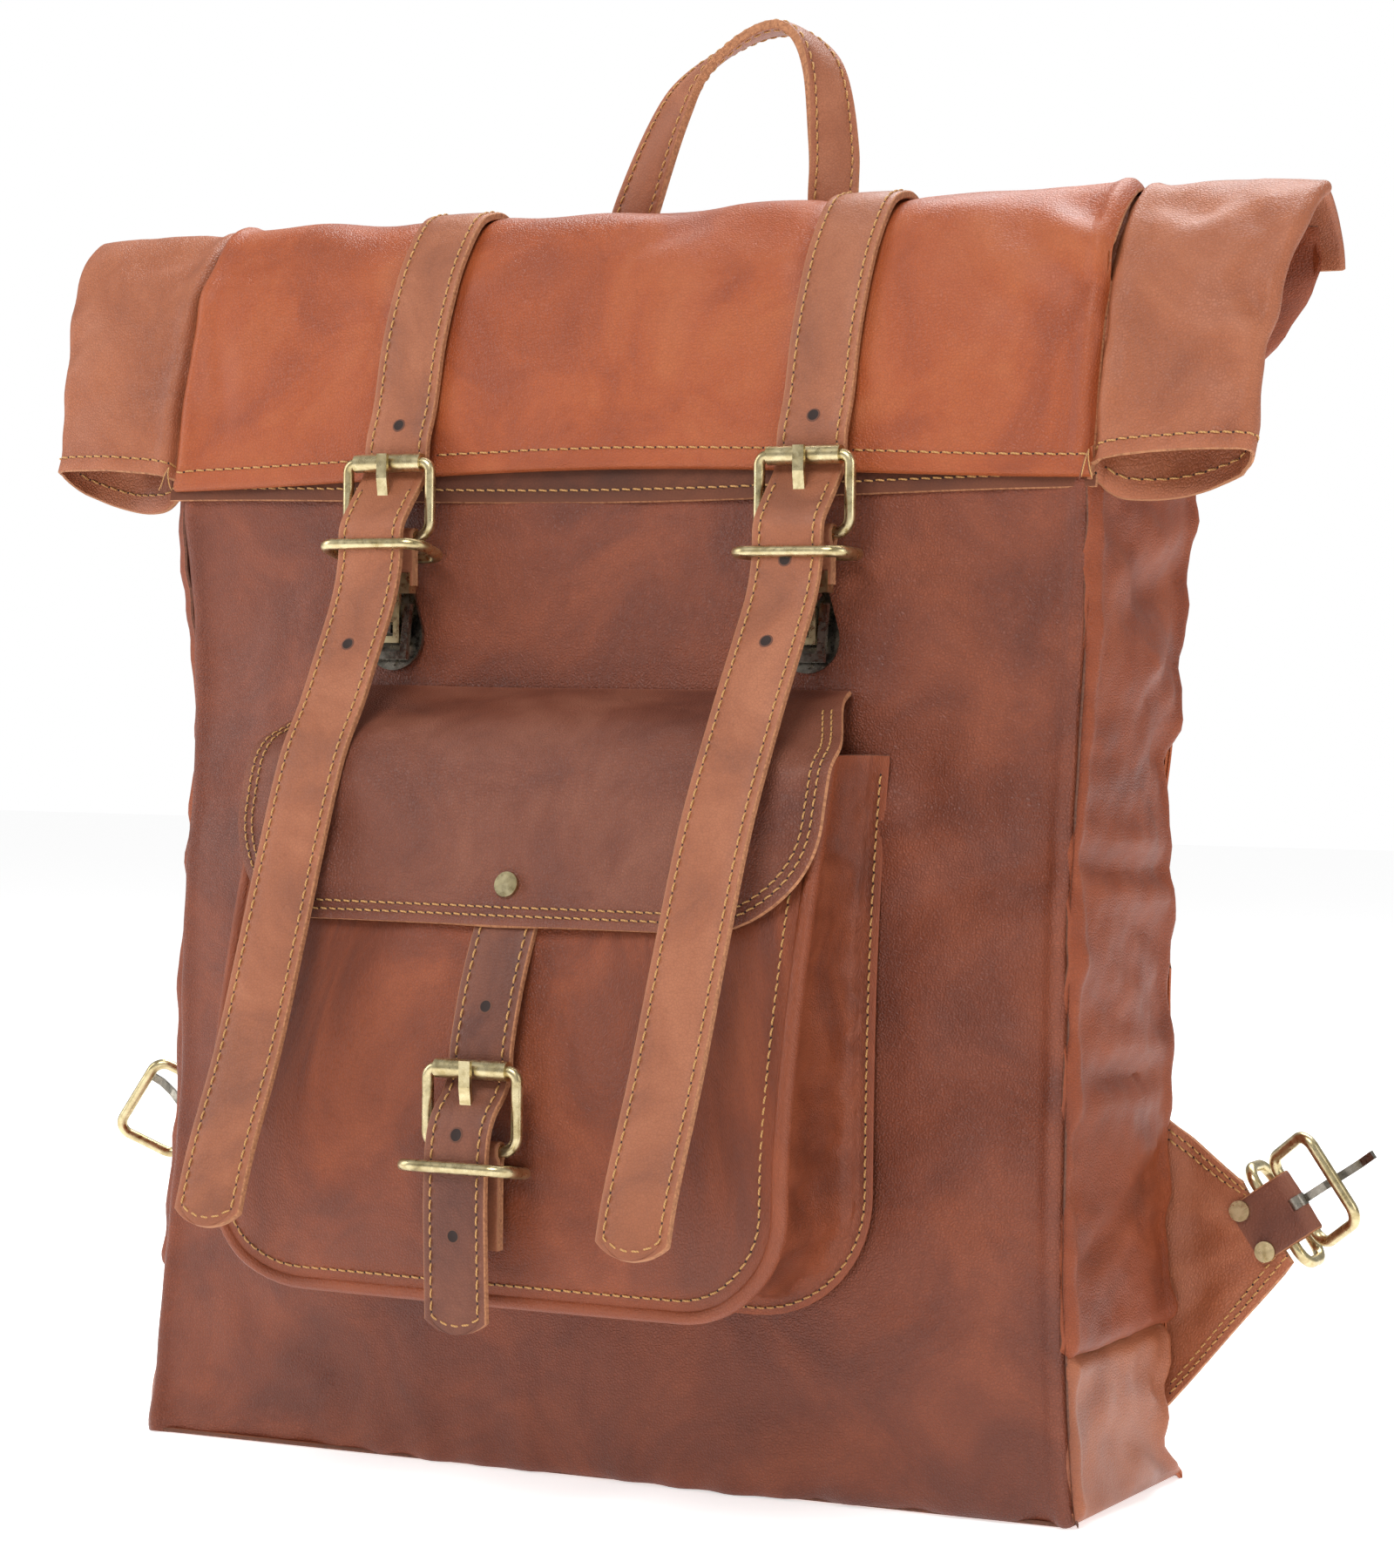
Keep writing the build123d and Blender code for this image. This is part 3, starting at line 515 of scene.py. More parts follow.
def leather(name, base, dark, light, roughness=0.42, grain=0.5, stain=0.5, coat=0.22):
    """Waxed full-grain leather: cloudy dye, stains, pebble grain, fine creases, worn ridges."""
    n = Nodes(name)
    where = n.add("ShaderNodeTexCoord").outputs["UV"]
    cloud = n.noise(where, 2.1, 5.0, 0.6, 0.7)
    colour = n.ramp(cloud, (0.34, dark), (0.5, base), (0.67, light))
    blotch = n.ramp(n.noise(where, 6.5, 5.0, 0.65, 1.2), (0.54, grey(0)), (0.78, grey(0.7 * stain)))
    colour = n.mix(blotch, colour, dark)
    speck = n.ramp(n.noise(where, 26.0, 3.0, 0.6), (0.66, grey(0)), (0.76, grey(0.35 * stain)))
    colour = n.mix(speck, colour, tuple(0.45 * c for c in dark))
    warp = n.add("ShaderNodeMix", {"data_type": "VECTOR"})
    n.tree.links.new(where, warp.inputs[4])
    waves = n.add("ShaderNodeTexNoise", Vector=where, Scale=30.0, Detail=2.0).outputs["Color"]
    n.tree.links.new(waves, warp.inputs[5])
    warp.inputs[0].default_value = 0.012
    pebble = n.add("ShaderNodeTexVoronoi", {"feature": "DISTANCE_TO_EDGE"}, Vector=warp.outputs[1],
                   Scale=82.0, Randomness=1.0).outputs["Distance"]
    cells = n.ramp(pebble, (0.0, grey(0)), (0.28, grey(1)))
    colour = n.mix(n.ramp(cells, (0.0, grey(0.30)), (0.5, grey(0))), colour,
                   tuple(0.5 * c for c in dark))
    worn = n.ramp(n.add("ShaderNodeNewGeometry").outputs["Pointiness"],
                  (0.505, grey(0)), (0.56, grey(0.55)))
    colour = n.mix(worn, colour, light)
    n.surface(Base_Color=colour)
    shine = n.ramp(cloud, (0.3, grey(roughness - 0.07)), (0.7, grey(roughness + 0.1)))
    n.surface(Roughness=shine, Specular_IOR_Level=0.30, Coat_Weight=coat, Coat_Roughness=0.34)
    folds = n.noise(where, 13.0, 6.0, 0.6, 1.6)
    normal = n.bump(folds, 0.22, 0.0022)
    normal = n.bump(cells, 1.3 * grain, 0.00032, normal)
    normal = n.bump(n.noise(where, 190.0, 2.0), 0.12, 0.0002, normal)
    n.surface(Normal=normal)
    return n.material


def raw_edge(name, colour, dark):
    """Cut edge: paler, fibrous, a little fuzzy."""
    n = Nodes(name)
    where = n.add("ShaderNodeTexCoord").outputs["UV"]
    fibre = n.noise(where, 70.0, 4.0, 0.7, 0.5)
    n.surface(Base_Color=n.ramp(fibre, (0.32, dark), (0.62, colour)))
    n.surface(Roughness=0.78)
    n.surface(Normal=n.bump(fibre, 0.4, 0.0004))
    return n.material


def thread(name, colour):
    """Waxed thread with its twist."""
    n = Nodes(name)
    where = n.add("ShaderNodeTexCoord").outputs["Object"]
    twist = n.add("ShaderNodeTexWave", {"bands_direction": "DIAGONAL"}, Vector=where, Scale=520.0,
                  Distortion=1.0).outputs["Fac"]
    n.surface(Base_Color=n.ramp(twist, (0.0, tuple(0.6 * c for c in colour)), (0.6, colour)))
    n.surface(Roughness=0.55)
    n.surface(Normal=n.bump(twist, 0.4, 0.0002))
    return n.material


def metal(name, bright, dull, tarnish_and_shade, roughness):
    """Antiqued plating: tarnished in the hollows, where the darkening is also painted occlusion shade; rubbed
    bright on the raised parts.
    """
    n = Nodes(name)
    where = n.add("ShaderNodeTexCoord").outputs["Object"]
    cloud = n.noise(where, 160.0, 5.0, 0.65, 0.4)
    colour = n.ramp(cloud, (0.34, dull), (0.58, bright))
    # hollows (low pointiness) darkened to the tarnish colour: tarnish, and painted shade where light is occluded
    hollow_tarnish_and_shade = n.ramp(n.add("ShaderNodeNewGeometry").outputs["Pointiness"],
                    (0.44, grey(0.85)), (0.50, grey(0.0)))
    colour = n.mix(hollow_tarnish_and_shade, colour, tarnish_and_shade)
    patch = n.ramp(n.noise(where, 60.0, 4.0, 0.6, 0.8), (0.60, grey(0)), (0.74, grey(0.6)))
    n.surface(Base_Color=n.mix(patch, colour, tarnish_and_shade))
    n.surface(Metallic=1.0)
    spread = n.ramp(n.noise(where, 420.0, 3.0), (0.3, grey(roughness - 0.08)), (0.7, grey(roughness + 0.1)))
    n.surface(Roughness=spread)
    scratches = n.noise(where, 900.0, 2.0)
    n.surface(Normal=n.bump(scratches, 0.06, 0.0002))
    return n.material


def cloth(name, colour, dark):
    """Plain woven lining."""
    n = Nodes(name)
    where = n.add("ShaderNodeTexCoord").outputs["Object"]
    weave = n.add("ShaderNodeTexWave", Vector=where, Scale=900.0, Distortion=0.4).outputs["Fac"]
    n.surface(Base_Color=n.ramp(weave, (0.2, dark), (0.8, colour)))
    n.surface(Roughness=0.9)
    n.surface(Normal=n.bump(weave, 0.3, 0.0002))
    return n.material


BODY = leather("body_leather", (0.200, 0.050, 0.023), (0.150, 0.038, 0.019), (0.262, 0.068, 0.030),
               grain=0.55, coat=0.16)
GUSSET = leather("gusset_leather", (0.235, 0.048, 0.014), (0.17, 0.036, 0.013), (0.30, 0.070, 0.024),
                 roughness=0.46, grain=0.4, coat=0.05)
FLAP = leather("flap_leather", (0.37, 0.080, 0.022), (0.285, 0.059, 0.018), (0.42, 0.108, 0.034),
               grain=0.35, stain=0.35, coat=0.14)
EAR = leather("ear_leather", (0.355, 0.108, 0.046), (0.275, 0.082, 0.037), (0.42, 0.142, 0.066),
              grain=0.4, stain=0.4, coat=0.12)
POCKET = leather("pocket_leather", (0.225, 0.052, 0.019), (0.160, 0.038, 0.016), (0.30, 0.075, 0.028),
                 grain=0.45, coat=0.18)
POCKET_DARK = leather("pocket_flap_leather", (0.190, 0.056, 0.030), (0.140, 0.041, 0.024),
                      (0.25, 0.085, 0.048), grain=0.5, coat=0.12)
STRAP = leather("strap_leather", (0.335, 0.112, 0.052), (0.245, 0.082, 0.041), (0.41, 0.150, 0.074),
                roughness=0.47, grain=0.22, stain=0.35, coat=0.08)
STRAP_DARK = leather("dark_strap_leather", (0.175, 0.058, 0.033), (0.115, 0.038, 0.024),
                     (0.24, 0.086, 0.048), roughness=0.46, grain=0.25, coat=0.1)
# flesh side, its colour darkened as painted shade because it lies under the flap
FLESH_PAINTED_SHADE = leather("flesh_side_painted_shade", (0.115, 0.036, 0.018), (0.075, 0.025, 0.014), (0.16, 0.052, 0.026),
                roughness=0.7, grain=0.15, coat=0.0)
EDGE = raw_edge("raw_edge", (0.50, 0.22, 0.10), (0.24, 0.09, 0.04))
EDGE_DARK = raw_edge("dark_edge", (0.20, 0.075, 0.040), (0.08, 0.028, 0.018))
THREAD = thread("thread", (0.62, 0.33, 0.11))
# near-black discs at needle and punched holes: painted shade where the holes are
HOLE_SHADE = raw_edge("painted_hole_shade", (0.035, 0.014, 0.009), (0.012, 0.006, 0.005))
BRASS = metal("antique_brass", (0.66, 0.56, 0.33), (0.42, 0.33, 0.16), (0.085, 0.058, 0.03), 0.30)
NICKEL = metal("dark_nickel", (0.34, 0.31, 0.26), (0.16, 0.145, 0.12), (0.035, 0.03, 0.025), 0.28)
LINING = cloth("lining_cloth", (0.14, 0.085, 0.055), (0.06, 0.036, 0.024))


# ------------------------------------------------------- the bag's shape in sections
# (z, y) up the front and back, at the seams and in the middle
front_seam = {
    "right": profile([(0, -52.6), (19, -59), (65, -65.7), (115, -69), (178, -67), (240, -65.5),
                      (287, -58), (334, -53), (383, -48.8), (430, -36.5), (ridge_z, -27), (480, -20)]),
    "left": profile([(0, -67), (28, -60), (84, -52), (155, -46), (227, -40), (270, -35.5),
                     (334, -40.5), (380, -47), (430, -36.5), (ridge_z, -27), (480, -20)])}
front_middle = profile([(0, -62), (60, -70), (120, -72.5), (190, -72), (250, -66), (300, -58.5),
                        (380, -47), (430, -36.5), (ridge_z, -27), (480, -20)])
back_seam = profile([(0, 64), (12, 46), (23, 36), (52, 40), (86, 35), (136, 36), (186, 38), (237, 29),
                     (270, 31.5), (336, 46), (370, 54.5), (384, 53), (440, 35), (ridge_z, 25.5), (480, 20)])
back_middle = profile([(0, 61), (16, 51), (42, 46), (90, 45), (190, 45), (280, 42), (340, 47), (380, 53),
                       (415, 43), (440, 34.5), (ridge_z, 26), (480, 20)])
# (z, y) from the back over the crest to the hem
outer_turn = [(ridge_z, 26.0), (470, 22.4), (480, 15.5), (crest_z - 1.0, 5.0), (crest_z, -5.0),
              (480, -19.5), (462, -31.2), (438, -41.0), (414, -47.0), (hem_z, -52.0)]


def front_y(x, z):
    """The front panel's face, without its wrinkles."""
    x, z = np.asarray(x, float), np.asarray(z, float)
    seam = np.where(x < 0, front_seam["left"](z), front_seam["right"](z))
    middle = front_middle(z)
    return middle + (seam - middle) * np.abs(x / half_width) ** 3


def back_y(x, z):
    middle = back_middle(z)
    return middle + (back_seam(z) - middle) * np.abs(np.asarray(x) / half_width) ** 3


def add_height(grid, height, inside):
    return grid + grid_normals(grid, inside) * height[..., None]


# dents and creases of the front panel: (x, z) ends, depth and width
front_creases = [((128, 222), (196, 246), 3.2, 9), ((132, 284), (150, 262), 2.2, 14),
                 ((140, 170), (196, 160), 2.0, 12), ((-196, 255), (-140, 262), 1.8, 12),
                 ((-150, 52), (-90, 30), 2.0, 10), ((60, 36), (150, 24), 1.8, 10),
                 ((120, 90), (190, 70), 1.5, 12), ((-192, 330), (-165, 240), 1.5, 10)]
# the same for the gussets and the base, as (y, z) ends
gusset_creases = [((-62, 243), (28, 236), 3.6, 5.5), ((-60, 166), (33, 160), 3.0, 5.0),
                  ((-10, 226), (30, 205), 2.2, 6), ((-58, 92), (-8, 118), 2.6, 6),
                  ((-8, 118), (34, 132), 2.4, 6), ((-40, 330), (44, 352), 4.0, 9),
                  ((-44, 372), (10, 344), 3.4, 8), ((0, 300), (40, 268), 2.6, 8),
                  ((-20, 290), (30, 322), 1.8, 6), ((-50, 200), (-14, 178), 1.6, 5)]
base_creases = [((-20, 30), (40, 14), 2.2, 6), ((8, 52), (44, 34), 1.6, 5)]
# and for the ears, the pocket's flap and the corner patches, as (x, z) ends
ear_creases = [((252, 452), (268, 430), 1.8, 4), ((206, 486), (240, 478), 1.8, 5),
               ((212, 432), (262, 414), 1.2, 8), ((246, 486), (262, 462), 1.6, 4)]
pocket_flap_creases = [((-110, 290), (-60, 294), 1.6, 5), ((60, 293), (112, 287), 1.8, 5),
                       ((-40, 268), (30, 272), 1.0, 10), ((-100, 262), (-60, 246), 1.4, 8)]
anchor_creases = [((203, 96), (224, 100), 1.6, 5), ((204, 62), (220, 84), 1.3, 5),
                  ((204, 124), (222, 112), 1.2, 5)]


def front_panel():
    xs = steps_to_seams(-half_width, half_width)
    zs = np.concatenate([[0.4, 1.2, 2.6, 4.5], np.arange(7, ridge_z - 6, coarse)])
    x, z = np.meshgrid(xs, zs)
    grid = np.stack([x, front_y(x, z), z], axis=-1)
    height = turned_seam(half_width - np.abs(x)) - 3.0 * np.exp(-z / 2.2)
    height += 1.3 * ripple(grid, 95, 3) + 0.45 * ripple(grid, 26, 4, (1, 1, 1.6))
    near_base = np.exp(-z / 26)
    height += 1.3 * near_base * ripple(grid, 30, 5, (0.8, 1, 2.0))
    flat = np.stack([x, z], axis=-1)
    add_creases(height, front_creases, flat)
    calm = smooth_step(ridge_z - 60, ridge_z - 90, z)
    grid = add_height(grid, height * np.maximum(calm, 0.25), (0, 0, 200))
    obj = shell("front_panel_leather", grid, (0, 0, 200), [BODY, EDGE_DARK])
    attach(obj, "bag")
    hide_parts("front_panel", "lining")
    return grid


def fold_out(v, spread):
    """How far the gusset stands out across its width, where its top is folded."""
    return spread * (1 - np.sqrt(((2 * v - 1) ** 2 + 0.004) / 1.004))


def gusset(side):
    sign = 1 if side == "right" else -1
    front = front_seam[side]
    vs = steps_to_seams(0, gusset_depth) / gusset_depth
    zs = np.concatenate([[riser_z], riser_z + np.cumsum(np.full(5, 1.4)),
                         np.arange(riser_z + 10, crest_z - 14, coarse)])
    v, z = np.meshgrid(vs, zs)
    y = front(z) + (back_seam(z) - front(z)) * v
    spread = np.interp(z, [380, 400, 432, 460, 478], [0, 20, 58, 76, 70])
    bulge = 4.0 * np.sin(math.pi * v) * smooth_step(400, 360, z)
    x = sign * (half_width + fold_out(v, spread) + bulge)
    grid = np.stack([x, y, z], axis=-1)
    inside = (0, 0, 300)
    width = np.abs(back_seam(z) - front(z))
    distance = np.minimum(v, 1 - v) * np.maximum(width, 60)
    height = turned_seam(distance) * smooth_step(470, 440, z)
    height -= 2.4 * np.exp(-((z - riser_z) / 1.6) ** 2) - 1.0 * np.exp(-((z - riser_z - 6) / 4) ** 2)
    body = smooth_step(440, 380, z)
    height += body * (1.6 * ripple(grid, 62, 11 + sign) + 0.7 * ripple(grid, 22, 13 + sign))
    flat = np.stack([y, z], axis=-1)
    add_creases(height, gusset_creases, flat, smooth_step(0, 0.12, v))
    height += smooth_step(395, 440, z) * 1.4 * ripple(grid, 34, 17 + sign)
    grid = add_height(grid, height, inside)
    obj = shell(f"{side}_gusset_leather", grid, inside, [GUSSET, EDGE_DARK], 1.6)
    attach(obj, "bag")
    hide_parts(f"{side}_gusset")


def base():
    """The base strip: across the bottom and up both ends."""
    corner = 5.0
    rise = np.concatenate([[riser_z], riser_z - np.cumsum(np.full(5, 1.4)),
                           np.arange(riser_z - 12, corner, -coarse)])
    turn = np.linspace(0, math.pi / 2, 6)
    side = [(half_width, z) for z in rise]
    side += [(half_width - corner * (1 - math.cos(a)), 0.4 + corner * (1 - math.sin(a))) for a in turn]
    flat = [(x, 0.4) for x in np.arange(half_width - corner - 6, 0, -8)]
    half_path = np.array(side + flat)
    path = np.vstack([half_path, half_path[::-1] * (-1, 1)])
    x, z = path[:, 0], path[:, 1]
    share = np.clip((x / half_width + 1) / 2, 0, 1)
    front = front_seam["left"](z) * (1 - share) + front_seam["right"](z) * share
    back = back_seam(z) - 1.0
    vs = steps_to_seams(0, base_depth) / base_depth
    y = (front + 1.0)[:, None] + (back - front - 1.0)[:, None] * vs
    grid = np.stack([np.repeat(x[:, None], len(vs), 1), y, np.repeat(z[:, None], len(vs), 1)], axis=-1)
    riser = smooth_step(1, 9, grid[..., 2])
    distance = np.minimum(vs, 1 - vs)[None] * gusset_depth
    height = turned_seam(distance) * riser
    height += riser * (0.9 * ripple(grid, 30, 21) + 1.2 * np.sin(math.pi * vs)[None])
    height -= 2.2 * np.exp(-((grid[..., 2] - riser_z) / 1.8) ** 2)
    height += riser * 1.0 * np.exp(-((grid[..., 2] - riser_z + 6) / 4) ** 2)
    pulled = np.stack([grid[..., 1], grid[..., 2]], axis=-1)
    add_creases(height, base_creases, pulled, riser)
    inside = (0, 0, 60)
    grid = add_height(grid, height, inside)
    grid[..., 2] = np.maximum(grid[..., 2], 0.1)
    obj = shell("base_leather", grid, inside, [EAR, EDGE_DARK], 1.6)
    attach(obj, "bag")
    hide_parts("base_strip")


def hem_shift(x, part):
    """The hem hangs lowest at the seams."""
    return (3.0 * np.cos(math.pi * np.asarray(x) / half_width * 0.9) - 2.0) * part


turn_path = spline([(y, z) for z, y in outer_turn], 3.2)[:, ::-1]


def outer_path(x):
    """(z, y) up the back at x, over the crest and down to the hem."""
    up = np.concatenate([[0.5, 2, 4, 7], np.arange(11, ridge_z - 4, coarse)])
    return np.vstack([np.column_stack([up, back_y(x, up)]), turn_path])


def rolltop():
    """Back panel, crest and the flap's outer ply: one panel of leather."""
    xs = steps_to_seams(-half_width, half_width)
    columns = [outer_path(x) for x in xs]
    grid = np.stack([np.column_stack([np.full(len(c), x), c[:, 1], c[:, 0]])
                     for x, c in zip(xs, columns)], axis=1)
    x, y, z = grid[..., 0], grid[..., 1], grid[..., 2]
    on_front = smooth_step(5, -20, y)
    grid[..., 2] += hem_shift(x, on_front * smooth_step(crest_z - 20, hem_z, z))
    beside = np.abs(np.abs(x) - strap_x)
    height = turned_seam(half_width - np.abs(x)) * 0.85
    pressed = np.exp(-(beside / 17) ** 4)
    top = smooth_step(ridge_z - 10, ridge_z + 12, z)
    loose = 1 - pressed
    height += loose * (1.6 * on_front * smooth_step(hem_z, hem_z + 40, z) + 1.3 * top)
    height += loose * top * 1.7 * ripple(grid, 44, 31, (1.6, 1, 1))
    height += loose * on_front * (0.9 + 1.2 * ripple(grid, 88, 32) + 0.4 * ripple(grid, 30, 33))
    behind = smooth_step(20, 30, y)
    height += behind * loose * (1.4 * ripple(grid, 80, 34) + 0.5 * ripple(grid, 28, 35))
    height -= behind * 3.0 * np.exp(-z / 2.2)
    flat = np.stack([x, z], axis=-1)
    for a, b, depth, width in [((-10, 470), (24, 486), 2.6, 6), ((-196, 470), (-150, 476), 1.8, 6),
                               ((150, 478), (196, 452), 2.2, 7), ((176, 486), (196, 470), 2.4, 5),
                               ((-186, 440), (-178, 405), 1.6, 6)]:
        height += crease(a, b, flat, depth, width) * on_front * loose
    edge = grid[-1:].copy()
    height[-1] = 0
    grid = add_height(grid, height, (0, 0, 300))
    hem_fold = [(0.1, -1.6), (1.0, -2.6), (2.2, -2.9), (3.4, -2.0), (3.8, 1.0), (3.6, 8.0)]
    fold = [edge[0] + (0, dy, dz) for dy, dz in hem_fold]
    grid = np.concatenate([grid, np.stack(fold)], axis=0)
    obj = shell("roll_top_leather", grid, (0, 0, 300), [FLAP, EDGE], 1.5)
    turn_with_flap(obj)
    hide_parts("back_panel", "rolltop_fold", "flap_outer_ply")
    return grid


def turn_with_flap(obj):
    """Bakes the placing of what lies over the crest into its mesh."""
    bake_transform(obj)


def with_flap(obj):
    turn_with_flap(obj)


def dress(objects, placing):
    for obj in objects:
        placing(obj)


def ear(side):
    """The flap's end beyond the seam: outer ply, fold edge and the turned-in inner ply."""
    sign = 1 if side == "right" else -1
    start_z = ridge_z + 6
    path = turn_path[np.argmax(turn_path[:, 0] > start_z):]
    count = len(path)
    z, y = path[:, 0], path[:, 1]
    place = np.stack([np.zeros(count), y, z], axis=-1)
    tangent = unit(np.gradient(place, axis=0))
    outward = np.cross(tangent, (-1.0, 0, 0))
    outward *= np.sign(np.sum(outward * (place - (0, 0, 440))))
    out_at_front = np.interp(z, [380, 392, 430, 462, 491], [60, 60, 62, 67, 72])
    reach = np.where(y < 0, out_at_front, 70)
    down = smooth_step(0, 1, lengths(place) / lengths(place)[-1])
    lens = smooth_step(0.72, 1.0, lengths(place) / lengths(place)[-1])
    thick = 4.0 + 9.0 * down
    outer_u = np.concatenate([[-2.4], np.arange(0, 11, fine), np.linspace(12, 56, 14)]) / 56
    arc = np.linspace(0, math.pi, 11)[1:-1]
    rows = []
    for k in range(count):
        r = thick[k] / 2
        flat = outer_u * (reach[k] - r)
        belly = np.sin(math.pi * np.clip(flat / reach[k], 0, 1))
        bulge = 2.6 * belly * down[k] + 1.2 * belly
        across = [(u, h) for u, h in zip(flat, bulge)]
        end_h = bulge[-1]
        across += [(reach[k] - r + r * math.sin(a), end_h - r + r * math.cos(a)) for a in arc]
        inner = flat[::-1]
        sag = np.maximum(np.sin(math.pi * np.clip(inner / reach[k], 0, 1)), 0) ** 1.2
        inner_h = end_h - 2 * r - 7.0 * lens[k] * sag
        near_seam = np.clip(inner / reach[k], 0, 1) ** 0.35
        inner_h = inner_h * near_seam - 5.0 * (1 - near_seam)
        across += [(u, h) for u, h in zip(inner, inner_h)]
        across = np.array(across)
        points = place[k] + outward[k] * across[:, 1:2]
        points[:, 0] = sign * (half_width + across[:, 0])
        turn = np.linspace(0, 1, len(across))
        lower = (-2.5 + 4.0 * np.sin(math.pi * np.clip(turn / 0.5, 0, 1) / 2)) * (turn < 0.5)
        lower = lower + (turn >= 0.5) * (1.5 - 15.0 * np.sin(math.pi * (turn - 0.5) / 0.62).clip(0, 1))
        points[:, 2] += lower * lens[k]
        rows.append(points)
    grid = np.stack(rows)
    inside = (sign * (half_width + 30), -30, 430)
    outer_part = smooth_step(0.52, 0.40, np.linspace(0, 1, grid.shape[1]))[None]
    distance = grid[..., 0] * sign - half_width
    height = turned_seam(np.maximum(distance, 0)) * outer_part * 0.9 - 1.6 * (distance < -1)
    front = smooth_step(2, -18, grid[..., 1])
    height += (1.1 * ripple(grid, 46, 41 + sign) + 0.5 * ripple(grid, 20, 43 + sign)) * (0.4 + 0.6 * front)
    flat = np.stack([np.abs(grid[..., 0]), grid[..., 2]], axis=-1)
    add_creases(height, ear_creases, flat, outer_part)
    height[-1] *= 0.3
    normals = grid_normals(grid, inside)
    grid = grid + normals * height[..., None]
    obj = shell(f"{side}_ear_leather", grid, inside, [EAR, EDGE], 1.7)
    turn_with_flap(obj)
    half = len(outer_u)
    outer_line = np.vstack([surface_at(grid, normals, row_below_hem(grid, c), c)
                            for c in range(1, half + 6)])
    row = stitching(f"{side}_ear_hem_thread", outer_line, normals[-3, 1:half + 6], 4.4)
    dress([row], with_flap)
    inner_cols = range(half + 8, grid.shape[1] - 3)
    inner_line = np.vstack([grid[row_of(grid, c, 5.6), c] - normals[row_of(grid, c, 5.6), c] * 1.8
                            for c in inner_cols])
    inner_normals = np.vstack([-normals[-3, c] for c in inner_cols])
    dress([stitching(f"{side}_ear_inner_thread", inner_line, inner_normals, 4.4)], with_flap)


def row_of(grid, column, drop):
    """The row of a column that is nearest to drop above its lower end."""
    from_end = lengths(grid[::-1, column])
    return grid.shape[0] - 1 - int(np.argmin(np.abs(from_end - drop)))


def row_below_hem(grid, column, drop=5.6):
    return float(grid.shape[0] - 1) - np.interp(drop, lengths(grid[::-1, column]), np.arange(grid.shape[0]))


def surface_at(grid, normals, row, column, lift=0.05):
    """A point on the grid at a part row, just proud of it."""
    r = int(min(math.floor(row), grid.shape[0] - 2))
    t = row - r
    spot = grid[r, column] * (1 - t) + grid[r + 1, column] * t
    return spot + normals[r, column] * lift


def flap_inner():
    """Inner ply of the flap between the seams, with its own hem."""
    xs = np.arange(-half_width - 3, half_width + 4, coarse)
    path = spline([(-27.0, 464), (-31.0, 455), (-36.8, 440), (-40.2, 428), (-44.2, 410), (-47.4, 396),
                   (-49.4, 379)], 3.0)
    grid = swept(path, xs)
    x, z = grid[..., 0], grid[..., 2]
    hanging = smooth_step(ridge_z - 20, 380, z)
    grid[..., 2] += (-2.0 - 1.6 * np.cos(math.pi * x / half_width)) * hanging
    grid[..., 1] += 0.4 * ripple(grid, 60, 51) * hanging
    # the inner ply's colour is darkened as painted shade under the flap
    obj = shell("flap_inner_leather", grid, (0, 40, 400), [FLESH_PAINTED_SHADE, EDGE], 1.6)
    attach(obj, "roll_flap")
    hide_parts("flap_inner_ply")
    normals = grid_normals(grid, (0, 40, 400))
    line = np.vstack([surface_at(grid, normals, row_below_hem(grid, c, 4.6), c)
                      for c in range(grid.shape[1])])
    row = stitching("flap_inner_thread", line, normals[-2], 4.6)
    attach(row, "roll_flap")


def inner_turn():
    """Where the front of the neck turns into the flap's inner ply."""
    reach = half_width - 5
    xs = np.arange(-reach, reach + 1, 6.0)
    up = [(front_middle(z) + 1.4, z) for z in (438, 450)]
    over = [(-24.6, 460), (-21.6, 467), (-22.4, 470.5), (-24.6, 468), (-27.6, 461.5), (-33.5, 447)]
    path = spline(up + over, 2.2)
    grid = swept(path, xs)
    # colour darkened as painted shade inside the fold under the crest
    obj = shell("neck_turn_leather", grid, (0, -29, 440), [FLESH_PAINTED_SHADE, EDGE], 1.2)
    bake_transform(obj)


# --------------------------------------------------------------------- hem stitching
def flap_hem_thread(grid):
    normals = grid_normals(grid, (0, 0, 300))
    hem_row = grid.shape[0] - 7
    flap = grid[:hem_row + 1]
    line = np.vstack([surface_at(flap, normals[:hem_row + 1], row_below_hem(flap, c, 5.4), c)
                      for c in range(2, grid.shape[1] - 2)])
    keep = np.abs(np.abs(line[:, 0]) - strap_x) > strap_width / 2 - 1
    breaks = np.split(np.arange(len(line)), np.where(np.diff(keep.astype(int)) != 0)[0] + 1)
    number = 0
    for part in breaks:
        if keep[part[0]] and len(part) > 3:
            ups = normals[hem_row - 2][part + 2]
            dress([stitching(f"flap_hem_thread_{number}", line[part], ups, 4.5)], with_flap)
            number += 1


# -------------------------------------------------------------------- front straps
def at_pivot_blend(reach):
    """Placing that bakes a strap's transform into its mesh; reach is not used."""
    reach = Vector(reach)

    def place(obj):
        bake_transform(obj)
    return place


# (y, z) down the rest of each loose end, as far as its tip
tail_route = {
    "right": [(-75.2, 365), (-76.0, 352), (-80.5, 338), (-91, 321), (-109, 293), (-131, 255), (-150, 211),
              (-167, 169), (-185, 130), (-192.5, 107)],
    "left": [(-74.8, 365), (-75.6, 352), (-80.5, 336), (-93, 313), (-102, 297), (-113.5, 280),
             (-121, 264), (-131, 238), (-144, 203), (-158, 167), (-175, 132), (-185, 105)]}
tail_tip = 20.0
# mm down each loose end; the left one's first hole is left out
tail_holes = {"left": [82.7], "right": [47.4, 82.0]}


hole_rings = [(2.9, -0.1), (2.5, 0.18), (2.15, 0.16), (2.0, 0.08), (0.02, 0.06)]   # radius, height
hole_corners = 20
hole_proud = 0.2                 # keeps a hole's rim clear of the strap's crowned face


